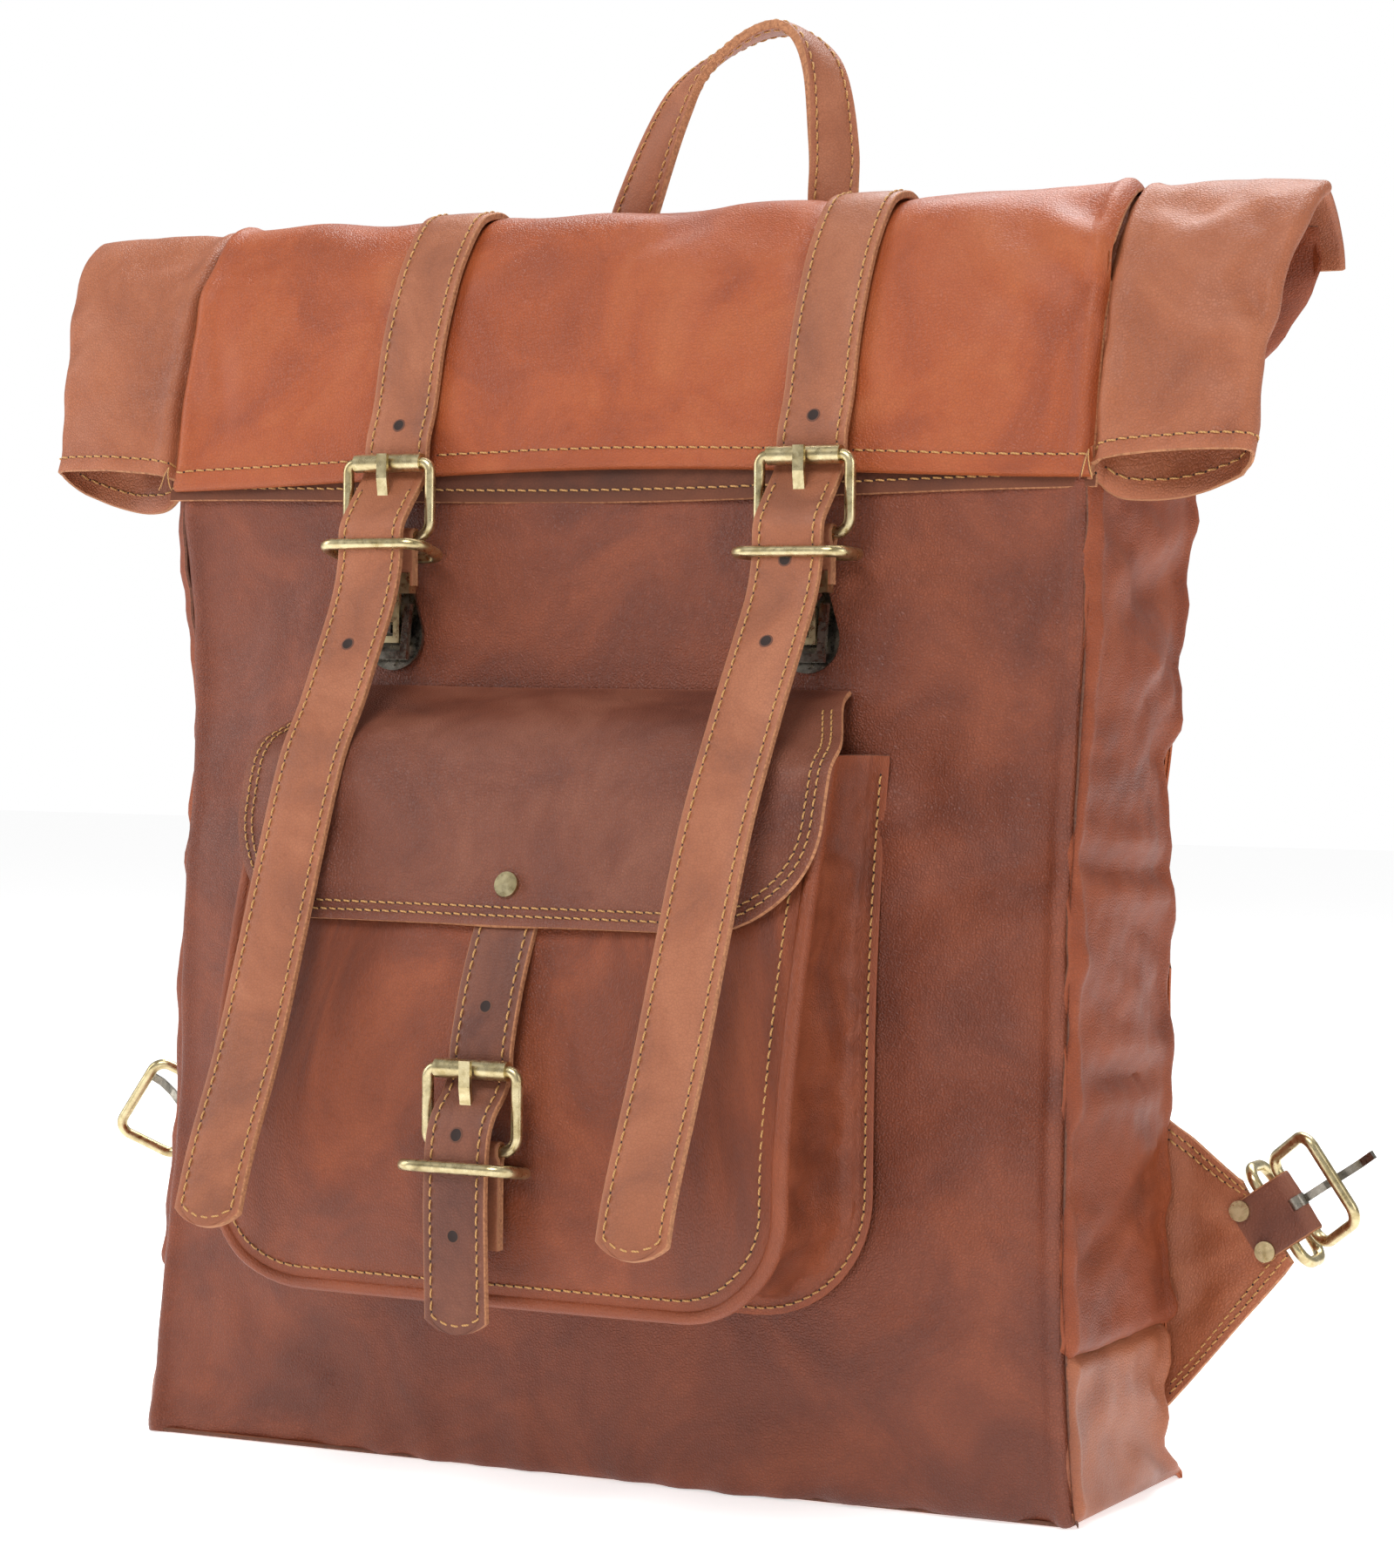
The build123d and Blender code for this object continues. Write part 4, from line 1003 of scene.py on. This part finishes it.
def punched(name, ribbon, spots, placing):
    """Punched holes: a pressed rim round a dark disc of painted shade where the hole is."""
    turn = np.arange(hole_corners) / hole_corners * 2 * math.pi
    for number, s in enumerate(spots):
        rings = []
        for r, h in hole_rings:
            height = ribbon.thick / 2 + h + hole_proud
            rings.append(ribbon.point(s + r * np.sin(turn), r * np.cos(turn), height))
        points = np.vstack(rings)
        faces = quads(len(hole_rings), hole_corners, wrap=True)
        # the inner rings take the painted hole shade
        slots = [0] * 2 * hole_corners + [1] * 2 * hole_corners
        obj = make_object(f"{name}_{number}", points, faces + [tuple(range(hole_corners))], None, slots + [0],
                          [EDGE_DARK, HOLE_SHADE])
        placing(obj)


def front_strap(side):
    sign = 1 if side == "right" else -1
    x = sign * strap_x
    lift = strap_clear + strap_ply / 2
    back = [(back_y(x, z) + lift + 1.0, z) for z in (384, 400, 418, 436, 450)]
    over = [(27.5 + lift, 462), (23.5 + lift, 472), (16 + lift * 0.7, 482 + lift * 0.7),
            (5, crest_z + lift + 0.4), (-6, crest_z + lift + 0.6), (-16.5, 486 + lift)]
    front = [(-26.0 - lift, 474), (-33.6 - lift, 460), (-42.2 - lift, 438), (-48 - lift, 414),
             (-52.6 - lift, 402)]
    end = [(buckle[1] + 5.9, buckle[2] + 34), (buckle[1] + 5.9, buckle[2] + 27)]
    path = spline(back + over + front + end, 2.0)
    ribbon = Ribbon(upright(path, x))

    def placing(obj):
        turn_with_flap(obj)
    obj = strap(f"{side}_strap_upper", ribbon, [STRAP, EDGE])
    placing(obj)
    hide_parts(f"{side}_strap", f"{side}_strap_fold")
    dress(edge_stitching(f"{side}_strap_thread", ribbon, 5.0, ribbon.length - 2), placing)
    punched(f"{side}_strap_hole", ribbon, [ribbon.length - 17.0], placing)
    # through the frame, under the ring and down to the tip
    by, bz = buckle[1], buckle[2]
    through = [(by + 5.9, bz + 30), (by + 4.6, bz + 24.5), (by + 0.2, bz + 19.0), (by - 6.2, bz + 12.0)]
    path = spline(through + tail_route[side], 2.0)
    ribbon = Ribbon(upright(path, x))
    placing = at_pivot_blend((0, -1.5, -8.0))
    obj = strap(f"{side}_strap_lower", ribbon, [STRAP, EDGE], tip_r=tail_tip)
    placing(obj)
    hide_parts(f"{side}_strap_tail")
    dress(edge_stitching(f"{side}_tail_thread", ribbon, 15.0, tip_r=tail_tip), placing)
    punched(f"{side}_tail_hole", ribbon, tail_holes[side], placing)


def folded_tab(name, bar, length, body, replaced, front_gap=0.25):
    """Leather folded round a buckle's bar, its two plies meeting below."""
    x, y, z = bar
    r = 3.1
    arc = [(y - r * math.cos(a), z + r * math.sin(a)) for a in np.linspace(0, math.pi, 9)]
    front = [(y - 0.85 - front_gap, z - length), (y - 0.85 - front_gap, z - 6), (y - 2.4, z - 2.8)]
    path = spline(front + arc + [(2 * y - a, b) for a, b in front[::-1]], 1.5)
    ribbon = Ribbon(upright(path, x), (-1, 0, 0), tab_width, 1.6)
    obj = strap(name, ribbon, [STRAP, EDGE], grooved=False)
    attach(obj, body)
    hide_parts(replaced)


# -------------------------------------------------------------------------- pocket
pocket_face = profile([(pocket_low, -138.5), (110, -141.5), (149, -140), (209, -127), (pocket_top, -104)])
pocket_corner = 38.0
pocket_stitch_in, pocket_pitch = 4.6, 4.0


def pocket_edge(inset, step=3.0):
    """(x, z) along the pocket's left side, bottom and right side."""
    r = pocket_corner - inset
    side_x, floor = pocket_half - inset, pocket_low + inset
    turn = np.linspace(0, math.pi / 2, 14)
    left = [(-side_x, pocket_top)]
    left += [(-side_x, z) for z in np.arange(pocket_top - 4, floor + r, -step)]
    left += [(-side_x + r - r * math.cos(a), floor + r - r * math.sin(a)) for a in turn]
    half_line = np.array(left)
    bottom = [(x, floor) for x in np.arange(-side_x + r + step, side_x - r, step)]
    return np.vstack([half_line, bottom, half_line[::-1] * (-1, 1)])


def pocket_y(x, z):
    """Pocket front's face, crowned in the middle."""
    x = np.asarray(x, float)
    share = np.abs(x / pocket_half)
    rim = 3.4 * smooth_step(0.86, 1.0, share) + 3.0 * np.exp(-(np.asarray(z) - pocket_low) / 7.0)
    return pocket_face(z) - 2.2 * (1 - share ** 2) + rim


def facing_front(points):
    return np.tile([0.0, -1.0, 0.0], (len(points), 1))


def on_bag(obj):
    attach(obj, "bag")


def pocket():
    edge = pocket_edge(0)
    rings = []
    for share in np.linspace(0.0004, 1, 31):
        keep = share ** 0.8
        x = edge[:, 0] * keep
        top = pocket_top
        z = top + (edge[:, 1] - top) * keep
        rings.append(np.stack([x, pocket_y(x, z), z], axis=-1))
    grid = np.stack(rings)
    height = 0.9 * ripple(grid, 70, 61) + 0.35 * ripple(grid, 24, 62)
    height *= np.linspace(1, 0, grid.shape[0])[:, None] ** 0.5
    inside = (0, -60, 180)
    grid = add_height(grid, height, inside)
    obj = shell("pocket_front_leather", grid, inside, [POCKET, EDGE_DARK], 1.6)
    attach(obj, "bag")
    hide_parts("pocket_front")
    line = pocket_edge(pocket_stitch_in)[2:-2]
    spots = np.column_stack([line[:, 0], pocket_y(line[:, 0], line[:, 1]) - 0.15, line[:, 1]])
    dress([stitching("pocket_front_thread_0", spots, facing_front(spots), pocket_pitch)], on_bag)
    # wall: a rolled front edge, a slack side, and a flange sewn to the bag
    out = unit(np.column_stack([np.gradient(edge[:, 1]), -np.gradient(edge[:, 0])]))
    out *= np.sign(np.sum(out * (edge - (0, 190)), axis=1, keepdims=True))
    front_edge = pocket_y(edge[:, 0], edge[:, 1]) + 0.6
    rear = front_y(edge[:, 0], edge[:, 1]) - 1.3
    profile_rows = []
    roll = [(-1.0, 1.2), (-0.4, -0.9), (1.2, -1.9), (3.0, -1.6), (4.4, 0.4), (4.6, 3.0), (3.4, 5.4),
            (1.0, 7.6)]
    for reach, dy in roll:
        profile_rows.append((reach, front_edge + dy))
    for t in np.linspace(0, 1, 16)[1:-1]:
        sag = 1.0 - 5.5 * math.sin(math.pi * t) ** 0.8
        profile_rows.append((sag, front_edge + 7.6 + (rear - 6.0 - front_edge - 7.6) * t))
    flange = [(0.6, -6.2), (2.4, -4.6), (3.4, -3.0), (5.0, -2.2), (9.0, -1.9), (9.4, -1.4), (9.2, -0.6)]
    for reach, dy in flange:
        profile_rows.append((reach, rear + dy))
    grid = []
    for reach, y in profile_rows:
        spot = edge + out * reach
        grid.append(np.stack([spot[:, 0], y, spot[:, 1]], axis=-1))
    grid = np.stack(grid)
    wall = np.zeros(len(profile_rows))
    wall[7:24] = 1
    slack = 1.5 * ripple(grid, 26, 63, (1, 2.2, 1)) + 0.8 * ripple(grid, 11, 64, (1, 2.5, 1))
    height = wall[:, None] * slack
    low_side = wall[:, None] * smooth_step(150, 90, grid[..., 2])
    height += low_side * 1.4 * ripple(grid, 15, 65, (0.8, 3, 0.8))
    grid = add_height(grid, height, (0, -100, 190))
    obj = shell("pocket_wall_leather", grid, (0, -100, 190), [POCKET, EDGE_DARK], 1.2)
    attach(obj, "bag")
    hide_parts("pocket_gusset")
    spot = edge + out * 6.6
    line = np.column_stack([spot[:, 0], rear - 2.15, spot[:, 1]])[2:-2]
    dress([stitching("pocket_base_thread", line, facing_front(line), pocket_pitch)], on_bag)


def flap_route():
    """The pocket flap's outer face at its middle, from the root down to the hem."""
    root_y, root_z = pocket_hinge[1], pocket_hinge[2]
    return spline([(root_y + 1.0, root_z + 3.6), (root_y - 7, root_z + 0.8), (root_y - 22, root_z - 3.6),
                   (root_y - 36, root_z - 9.6), (root_y - 47.4, root_z - 19.5), (root_y - 53, root_z - 30),
                   (root_y - 58.4, root_z - 48), (root_y - 67.2, flap_low)], 2.6)


def pocket_cover():
    route = flap_route()
    along = lengths(route)
    left = along[-1] - along
    corner = 42.0
    drop = np.clip(left, 0, corner)
    half = flap_half - corner + np.sqrt(np.maximum(corner ** 2 - (corner - drop) ** 2, 0))
    half = half * (0.885 + 0.115 * smooth_step(0, 0.38, along / along[-1]))
    shares = np.concatenate([np.linspace(-1, -0.9, 6), np.linspace(-0.86, 0.86, 47), np.linspace(0.9, 1, 6)])
    grid = []
    for (y, z), reach in zip(route, half):
        x = shares * reach
        grid.append(np.stack(np.broadcast_arrays(x, y, z), axis=-1))
    grid = np.stack(grid)
    x, z = grid[..., 0], grid[..., 2]
    t = (along / along[-1])[:, None]
    outer = smooth_step(88, flap_half, np.abs(x))
    front_part = smooth_step(0.25, 0.6, t)
    grid[..., 2] -= outer * 7.0 * smooth_step(0.02, 0.3, t) * (1 - front_part)
    grid[..., 1] += outer * 4.5 * front_part * smooth_step(1.0, 0.8, t)
    grid[..., 1] -= 0.6 * (1 - (x / flap_half) ** 2) * smooth_step(0.1, 0.5, t)
    grid[..., 1] -= 1.3 * np.exp(-((x - pocket_x) / 17) ** 4) * smooth_step(0.8, 1.0, t)
    height = 0.6 * ripple(grid, 60, 71) + 0.4 * ripple(grid, 20, 72)
    height *= smooth_step(0, 0.15, t) * smooth_step(1.0, 0.9, np.abs(shares))[None] * smooth_step(1, 0.85, t)
    brow = np.stack([x, z], axis=-1)
    add_creases(height, pocket_flap_creases, brow)
    inside = (0, -40, 200)
    grid = add_height(grid, height, inside)
    obj = shell("pocket_flap_leather", grid, inside, [POCKET_DARK, EDGE], 2.2)

    def placing(piece):
        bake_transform(piece)
    placing(obj)
    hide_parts("pocket_flap")
    normals = grid_normals(grid, inside)
    rows, cols = grid.shape[:2]
    for number, inset in enumerate((3.6, 6.8)):
        row_path = [(r, 0) for r in range(6, rows)] + [(rows - 1, c) for c in range(1, cols)]
        row_path += [(r, cols - 1) for r in range(rows - 2, 5, -1)]
        rim = np.array([grid[r, c] for r, c in row_path])
        rim_up = np.array([normals[min(r, rows - 3), min(max(c, 2), cols - 3)] for r, c in row_path])
        run = unit(np.gradient(rim, axis=0))
        inward = unit(np.cross(rim_up, run))
        centre_line = np.array([0, -120, 265])
        inward *= np.sign(np.sum(inward * (centre_line - rim), axis=1, keepdims=True))
        line = resample(rim + inward * inset, 2.0)
        lift = np.column_stack([np.interp(lengths(line), lengths(rim + inward * inset), v) for v in rim_up.T])
        line = snap_to(grid, normals, line)
        row = stitching(f"pocket_flap_thread_{number}", line, unit(lift), 3.9, 0.33)
        dress([row], placing)
    return grid


def snap_to(grid, normals, line, lift=0.1):
    """Move each point onto the grid's surface along the grid's normal there."""
    spots, ups = grid.reshape(-1, 3), normals.reshape(-1, 3)
    moved = []
    for point in line:
        near = np.argsort(np.sum((spots - point) ** 2, axis=1))[:3]
        up = unit(ups[near].mean(axis=0))
        away = np.mean((spots[near] - point) @ up)
        moved.append(point + up * (away + lift))
    return np.array(moved)


def pocket_strap():
    path = spline([(-120.6, 238), (-124.4, 224.5), (-127.2, 216.5), (-132, 207), (-138.6, 192),
                   (-144.4, 173), (-145.1, 164), (-149.5, 156), (-157, 149), (-161.2, 139),
                   (-162.4, 119), (-161.6, 95), (-160.4, 70)], 2.0)
    ribbon = Ribbon(upright(path, pocket_x), width=26.0, thick=3.0)

    def placing(obj):
        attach(obj, "pocket_cover")
    obj = strap("pocket_strap_leather", ribbon, [STRAP_DARK, EDGE], tip_r=tail_tip)
    placing(obj)
    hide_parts("pocket_strap")
    dress(edge_stitching("pocket_strap_thread", ribbon, 14.0, tip_r=tail_tip), placing)
    tip = ribbon.length
    punched("pocket_strap_hole", ribbon, [55.0, tip - 72.0, tip - 36.0], placing)


def handle():
    """Loop of doubled leather, its ends sewn to the back panel."""
    left_x, right_x = handle_x - handle_span / 2, handle_x + handle_span / 2
    lift = strap_clear + handle_ply / 2

    def foot(x):
        return [(x, float(back_y(x, z)) + lift + 1.0, z) for z in (423, 436, 446)]
    left = foot(left_x) + [(left_x, 31.5, 457), (-38, 32, 475)]
    top = [(-32, 32, 498), (-13, 33, 541), (10, 34, 561), (34, 34, 567), (50, 33, 552), (56, 32, 520),
           (57, 30, 498)]
    right = [(right_x, 31, 475), (right_x, 31.5, 457)] + foot(right_x)[::-1]
    known = np.array(left + top + right)
    directions = [(1, 0, 0)] * 6 + [(0.8, -0.4, 0), (0.5, -0.8, 0), (0.2, -0.97, 0), (-0.4, -0.9, 0),
                                    (-0.8, -0.6, 0), (-0.95, -0.3, 0)] + [(-1, 0, 0)] * 5
    path = spline(known, 2.0)
    at = lengths(spline(known, 0.5))
    dense = spline(known, 0.5)
    spots = [at[np.argmin(np.linalg.norm(dense - k, axis=1))] for k in known]
    along = lengths(path)
    across = np.column_stack([np.interp(along, spots, column) for column in np.array(directions, float).T])
    across = unit(across)
    ribbon = Ribbon(path, across, handle_width, handle_ply)
    far = Ribbon(path, -across, handle_width, handle_ply)

    def placing(obj):
        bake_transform(obj)
    obj = strap("handle_leather", ribbon, [STRAP, EDGE], crown=0.5)
    placing(obj)
    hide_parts("handle", "handle_tabs")
    rows = edge_stitching("handle_thread", ribbon, 3.5, inset=3.0)
    rows += edge_stitching("handle_far_thread", far, 30, ribbon.length - 30, inset=3.0)
    dress(rows, placing)


def shoulder(side):
    sign = 1 if side == "right" else -1
    y, z = shoulder_hinge[1], shoulder_hinge[2]
    path = spline([(31.5, 469), (38.5, 460), (y, z), (y + 16, z - 24), (y + 22, z - 64), (y + 20, z - 120),
                   (y + 14, z - 200), (y + 10, shoulder_end)], 2.5)
    middle = upright(path, sign * abs(shoulder_hinge[0]))
    ribbon = Ribbon(middle, (-1, 0, 0), shoulder_width, shoulder_ply)
    height = np.interp(np.arange(0, ribbon.length), ribbon.along, middle[:, 2])

    narrowing = (shoulder_width - shoulder_tip_width) * smooth_step(z - 150, z - 235, height)

    def width_at(s):
        return np.interp(s, np.arange(0, ribbon.length), shoulder_width - narrowing)

    def placing(obj):
        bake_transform(obj)
    obj = strap(f"{side}_shoulder_leather", ribbon, [STRAP, EDGE], width_at, crown=0.6, grooved=False)
    placing(obj)
    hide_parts(f"{side}_shoulder_strap")
    s = np.arange(4, ribbon.length - 5, 2.5)
    for number, edge in enumerate((-1, 1)):
        line = ribbon.point(s, edge * (width_at(s) / 2 - 3.6), shoulder_ply / 2)
        dress([stitching(f"{side}_shoulder_thread_{number}", line, ribbon.normal_at(s))], placing)
    spots = [ribbon.length - shoulder_hole_start - shoulder_hole_pitch * k for k in range(4)]
    punched(f"{side}_shoulder_hole", ribbon, spots, placing)


def anchor(side):
    """Corner patch sewn into the back seam, with the shoulder buckle's folded tab."""
    sign = 1 if side == "right" else -1
    u = np.array([math.cos(math.radians(anchor_angle)), 0, math.sin(math.radians(anchor_angle))])
    v = np.array([-u[2], 0, u[0]])
    outer_mid = np.array([half_width + anchor_reach, anchor_y, anchor_mid_z])
    seam_x = half_width - 1.5
    rows = []
    for t in np.linspace(0, 1, 17):
        a = np.array([seam_x, 0, 29.0]) * (1 - t) + (outer_mid - v * 18) * t
        b = np.array([seam_x, 0, 142.0]) * (1 - t) + (outer_mid + v * 18) * t
        shares = np.linspace(0, 1, 33)[:, None]
        row = a + (b - a) * shares
        sag = 2.6 * np.sin(math.pi * shares[:, 0]) * math.sin(math.pi * t)
        join = back_seam(row[:, 2]) + 1.5
        row[:, 1] = join + (anchor_y - join) * smooth_step(0, 0.35, np.full(33, t)) - 1.3 - sag * 0.6
        rows.append(row)
    grid = np.stack(rows)
    grid[..., 0] *= sign
    inside = (sign * 220, 200, 90)
    height = 0.6 * ripple(grid, 30, 91) * np.sin(math.pi * np.linspace(0, 1, 33))[None]
    flat = np.stack([np.abs(grid[..., 0]), grid[..., 2]], axis=-1)
    add_creases(height, anchor_creases, flat)
    grid = add_height(grid, height, inside)

    def placing(piece):
        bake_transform(piece)
    obj = shell(f"{side}_anchor_leather", grid, inside, [EAR, EDGE], 2.6)
    placing(obj)
    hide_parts(f"{side}_anchor_patch")
    normals = grid_normals(grid, inside)
    number = 0
    for inset in (3.4, 7.0):
        for ends in (0, -1):
            rim = grid[:, ends]
            inward = unit(grid[:, 1 if ends == 0 else -2] - rim)
            line = rim[1:] + inward[1:] * inset
            ups = normals[1:, 4 if ends == 0 else -5]
            dress([stitching(f"{side}_anchor_thread_{number}", line, ups, 3.6, 0.33)], placing)
            number += 1
    # the folded tab
    bar = outer_mid + u * chape_reach
    turn = np.linspace(-2.3, 2.3, 13)
    loop = [(math.cos(a) * 2.9, math.sin(a) * 2.9) for a in turn]
    front = [(-chape_reach - 9.5, -2.05), (-chape_reach - 1.0, -2.05), (-7.0, -2.3), (-3.4, -2.4)]
    path = spline(front + loop + [(a, -b) for a, b in front[::-1]], 1.2)
    middle = bar + path[:, :1] * u + path[:, 1:] * np.array([0, 1, 0])
    across = v.copy()
    middle[:, 0] *= sign
    across[0] *= sign
    ribbon = Ribbon(middle, across * sign, tab_width, 1.5)
    obj = strap(f"{side}_chape_leather", ribbon, [STRAP_DARK, EDGE], grooved=False)
    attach(obj, f"{side}_anchor")
    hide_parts(f"{side}_chape")


def tube(name, points, radius, material):
    """A thin round piece along a line, tapering at its free end."""
    points = np.array(points, float)
    run = unit(np.gradient(points, axis=0))
    side = unit(np.cross(run, (0.3, 1.0, 0.2)))
    up = np.cross(run, side)
    reach = radius * np.interp(np.linspace(0, 1, len(points)), [0, 0.85, 1], [1, 1, 0.4])
    rings = circles(points, side, up, reach[:, None, None], 8)
    count = len(points)
    faces = quads(count, 8, wrap=True) + [tuple(range(8)), tuple(range((count - 1) * 8, count * 8))]
    obj = make_object(name, rings.reshape(-1, 3), faces, None, [0] * len(faces), [material])
    turn_with_flap(obj)


def seam_ends():
    """Frayed thread where each flap seam meets the hem."""
    rng = np.random.default_rng(7)
    for sign, side in ((-1, "left"), (1, "right")):
        root = np.array([sign * (half_width + 0.4), -54.6, hem_z + 2.0])
        for number in range(4):
            lean = rng.uniform(-1, 1, 3) * (3.0, 1.0, 1.2)
            points = spline([root, root + (lean[0] * 0.4, -1.2, -3), root + (lean[0], -1.6 + lean[1], -7),
                             root + (lean[0] * 1.7, -0.6 + lean[1], -10 + lean[2])], 1.0)
            material = STRAP_DARK if number % 2 else THREAD
            tube(f"{side}_seam_end_{number}", points, 0.24, material)


# ------------------------------------------------------------------ build everything
front_panel()
back_and_flap = rolltop()
flap_hem_thread(back_and_flap)
base()
for side in ("left", "right"):
    gusset(side)
    ear(side)
    front_strap(side)
    shoulder(side)
    anchor(side)
    tab_x = strap_x if side == "right" else -strap_x
    folded_tab(f"{side}_tab_leather", (tab_x, buckle[1], buckle[2]), buckle[2] - low(f"{side}_tab")[2],
               f"{side}_front_strap", f"{side}_tab")
flap_inner()
inner_turn()
pocket()
pocket_cover()
pocket_strap()
folded_tab("pocket_tab_leather", tuple(pocket_buckle), pocket_buckle[2] - low("pocket_tab")[2],
           "pocket_cover", "pocket_tab")
handle()
seam_ends()

# the frame's own pieces keep their shapes and take their slot's finish
finish_for = {"antique_brass": BRASS, "dark_nickel": NICKEL, "body_leather": BODY, "flap_leather": FLAP,
              "pocket_leather": POCKET, "strap_leather": STRAP, "lining_cloth": LINING, "thread": THREAD}
slot_of = {part["node"]: part["material_slot"] for part in frame["record"]["subparts"]}
for name, node in frame["nodes"].items():
    for place in range(len(node.data.materials)):
        node.data.materials[place] = finish_for[slot_of[name]]

# --------------------------------------------------------------------- studio, camera
def plain(name, value, roughness, glow):
    n = Nodes(name)
    n.surface(Emission_Color=grey(1.0), Emission_Strength=glow, Base_Color=grey(value), Roughness=roughness)
    return n.material


floor_mesh = bpy.data.meshes.new("floor")
floor_half = 6.0
floor_mesh.from_pydata([(-floor_half, -floor_half, 0), (floor_half, -floor_half, 0),
                        (floor_half, floor_half, 0), (-floor_half, floor_half, 0)], [], [(0, 1, 2, 3)])
floor_mesh.materials.append(plain("floor", 0.85, 0.9, 0.6))
floor = bpy.data.objects.new("floor", floor_mesh)
bpy.context.scene.collection.objects.link(floor)

# the backdrop is white to the camera, and lights the object more softly
seen_level, lighting_level = 1.0, 0.42

world = bpy.data.worlds.new("studio")
world.use_nodes = True
backdrop = world.node_tree.nodes["Background"]
backdrop.inputs["Color"].default_value = (1, 1, 1, 1)
rays = world.node_tree.nodes.new("ShaderNodeLightPath")
level = world.node_tree.nodes.new("ShaderNodeMapRange")
level.inputs["To Min"].default_value = lighting_level
level.inputs["To Max"].default_value = seen_level
world.node_tree.links.new(rays.outputs["Is Camera Ray"], level.inputs["Value"])
world.node_tree.links.new(level.outputs["Result"], backdrop.inputs["Strength"])
bpy.context.scene.world = world

lamp_aim = Vector((0, -0.03, 0.28))


def lamp(name, place, size, watts, colour=(1, 1, 1)):
    data = bpy.data.lights.new(name, "AREA")
    data.shape = "RECTANGLE"
    data.size, data.size_y = size
    data.energy = watts
    data.color = colour
    obj = bpy.data.objects.new(name, data)
    bpy.context.scene.collection.objects.link(obj)
    obj.location = place
    obj.rotation_euler = (lamp_aim - Vector(place)).to_track_quat("-Z", "Y").to_euler()


lamp("key", (0.1, -1.7, 2.1), (1.2, 1.0), 30)
lamp("top", (0.0, 0.9, 1.9), (1.6, 1.0), 34)
lamp("right", (2.1, -0.5, 0.9), (0.7, 1.2), 8)
lamp("left", (-1.7, -0.7, 0.9), (0.8, 1.2), 10)

# the camera, as fitted to the photo
camera_place = Vector((0.7268, -1.3732, 0.3046))
azimuth, elevation, roll = (math.radians(value) for value in (27.41, 1.42, 0.59))
to_camera = Vector((math.sin(azimuth) * math.cos(elevation), -math.cos(azimuth) * math.cos(elevation),
                    math.sin(elevation)))
level_right = Vector((math.cos(azimuth), math.sin(azimuth), 0))
level_up = to_camera.cross(level_right)
rolled_right = math.cos(roll) * level_right + math.sin(roll) * level_up
rolled_up = math.cos(roll) * level_up - math.sin(roll) * level_right
lens = bpy.data.cameras.new("camera")
lens.lens, lens.sensor_width, lens.clip_end = 90, 36, 50
camera = bpy.data.objects.new("camera", lens)
standing = Matrix((rolled_right, rolled_up, to_camera)).transposed().to_4x4()
standing.translation = camera_place
camera.matrix_world = standing
bpy.context.scene.collection.objects.link(camera)
bpy.context.scene.camera = camera
bpy.context.scene.view_settings.view_transform = "Standard"
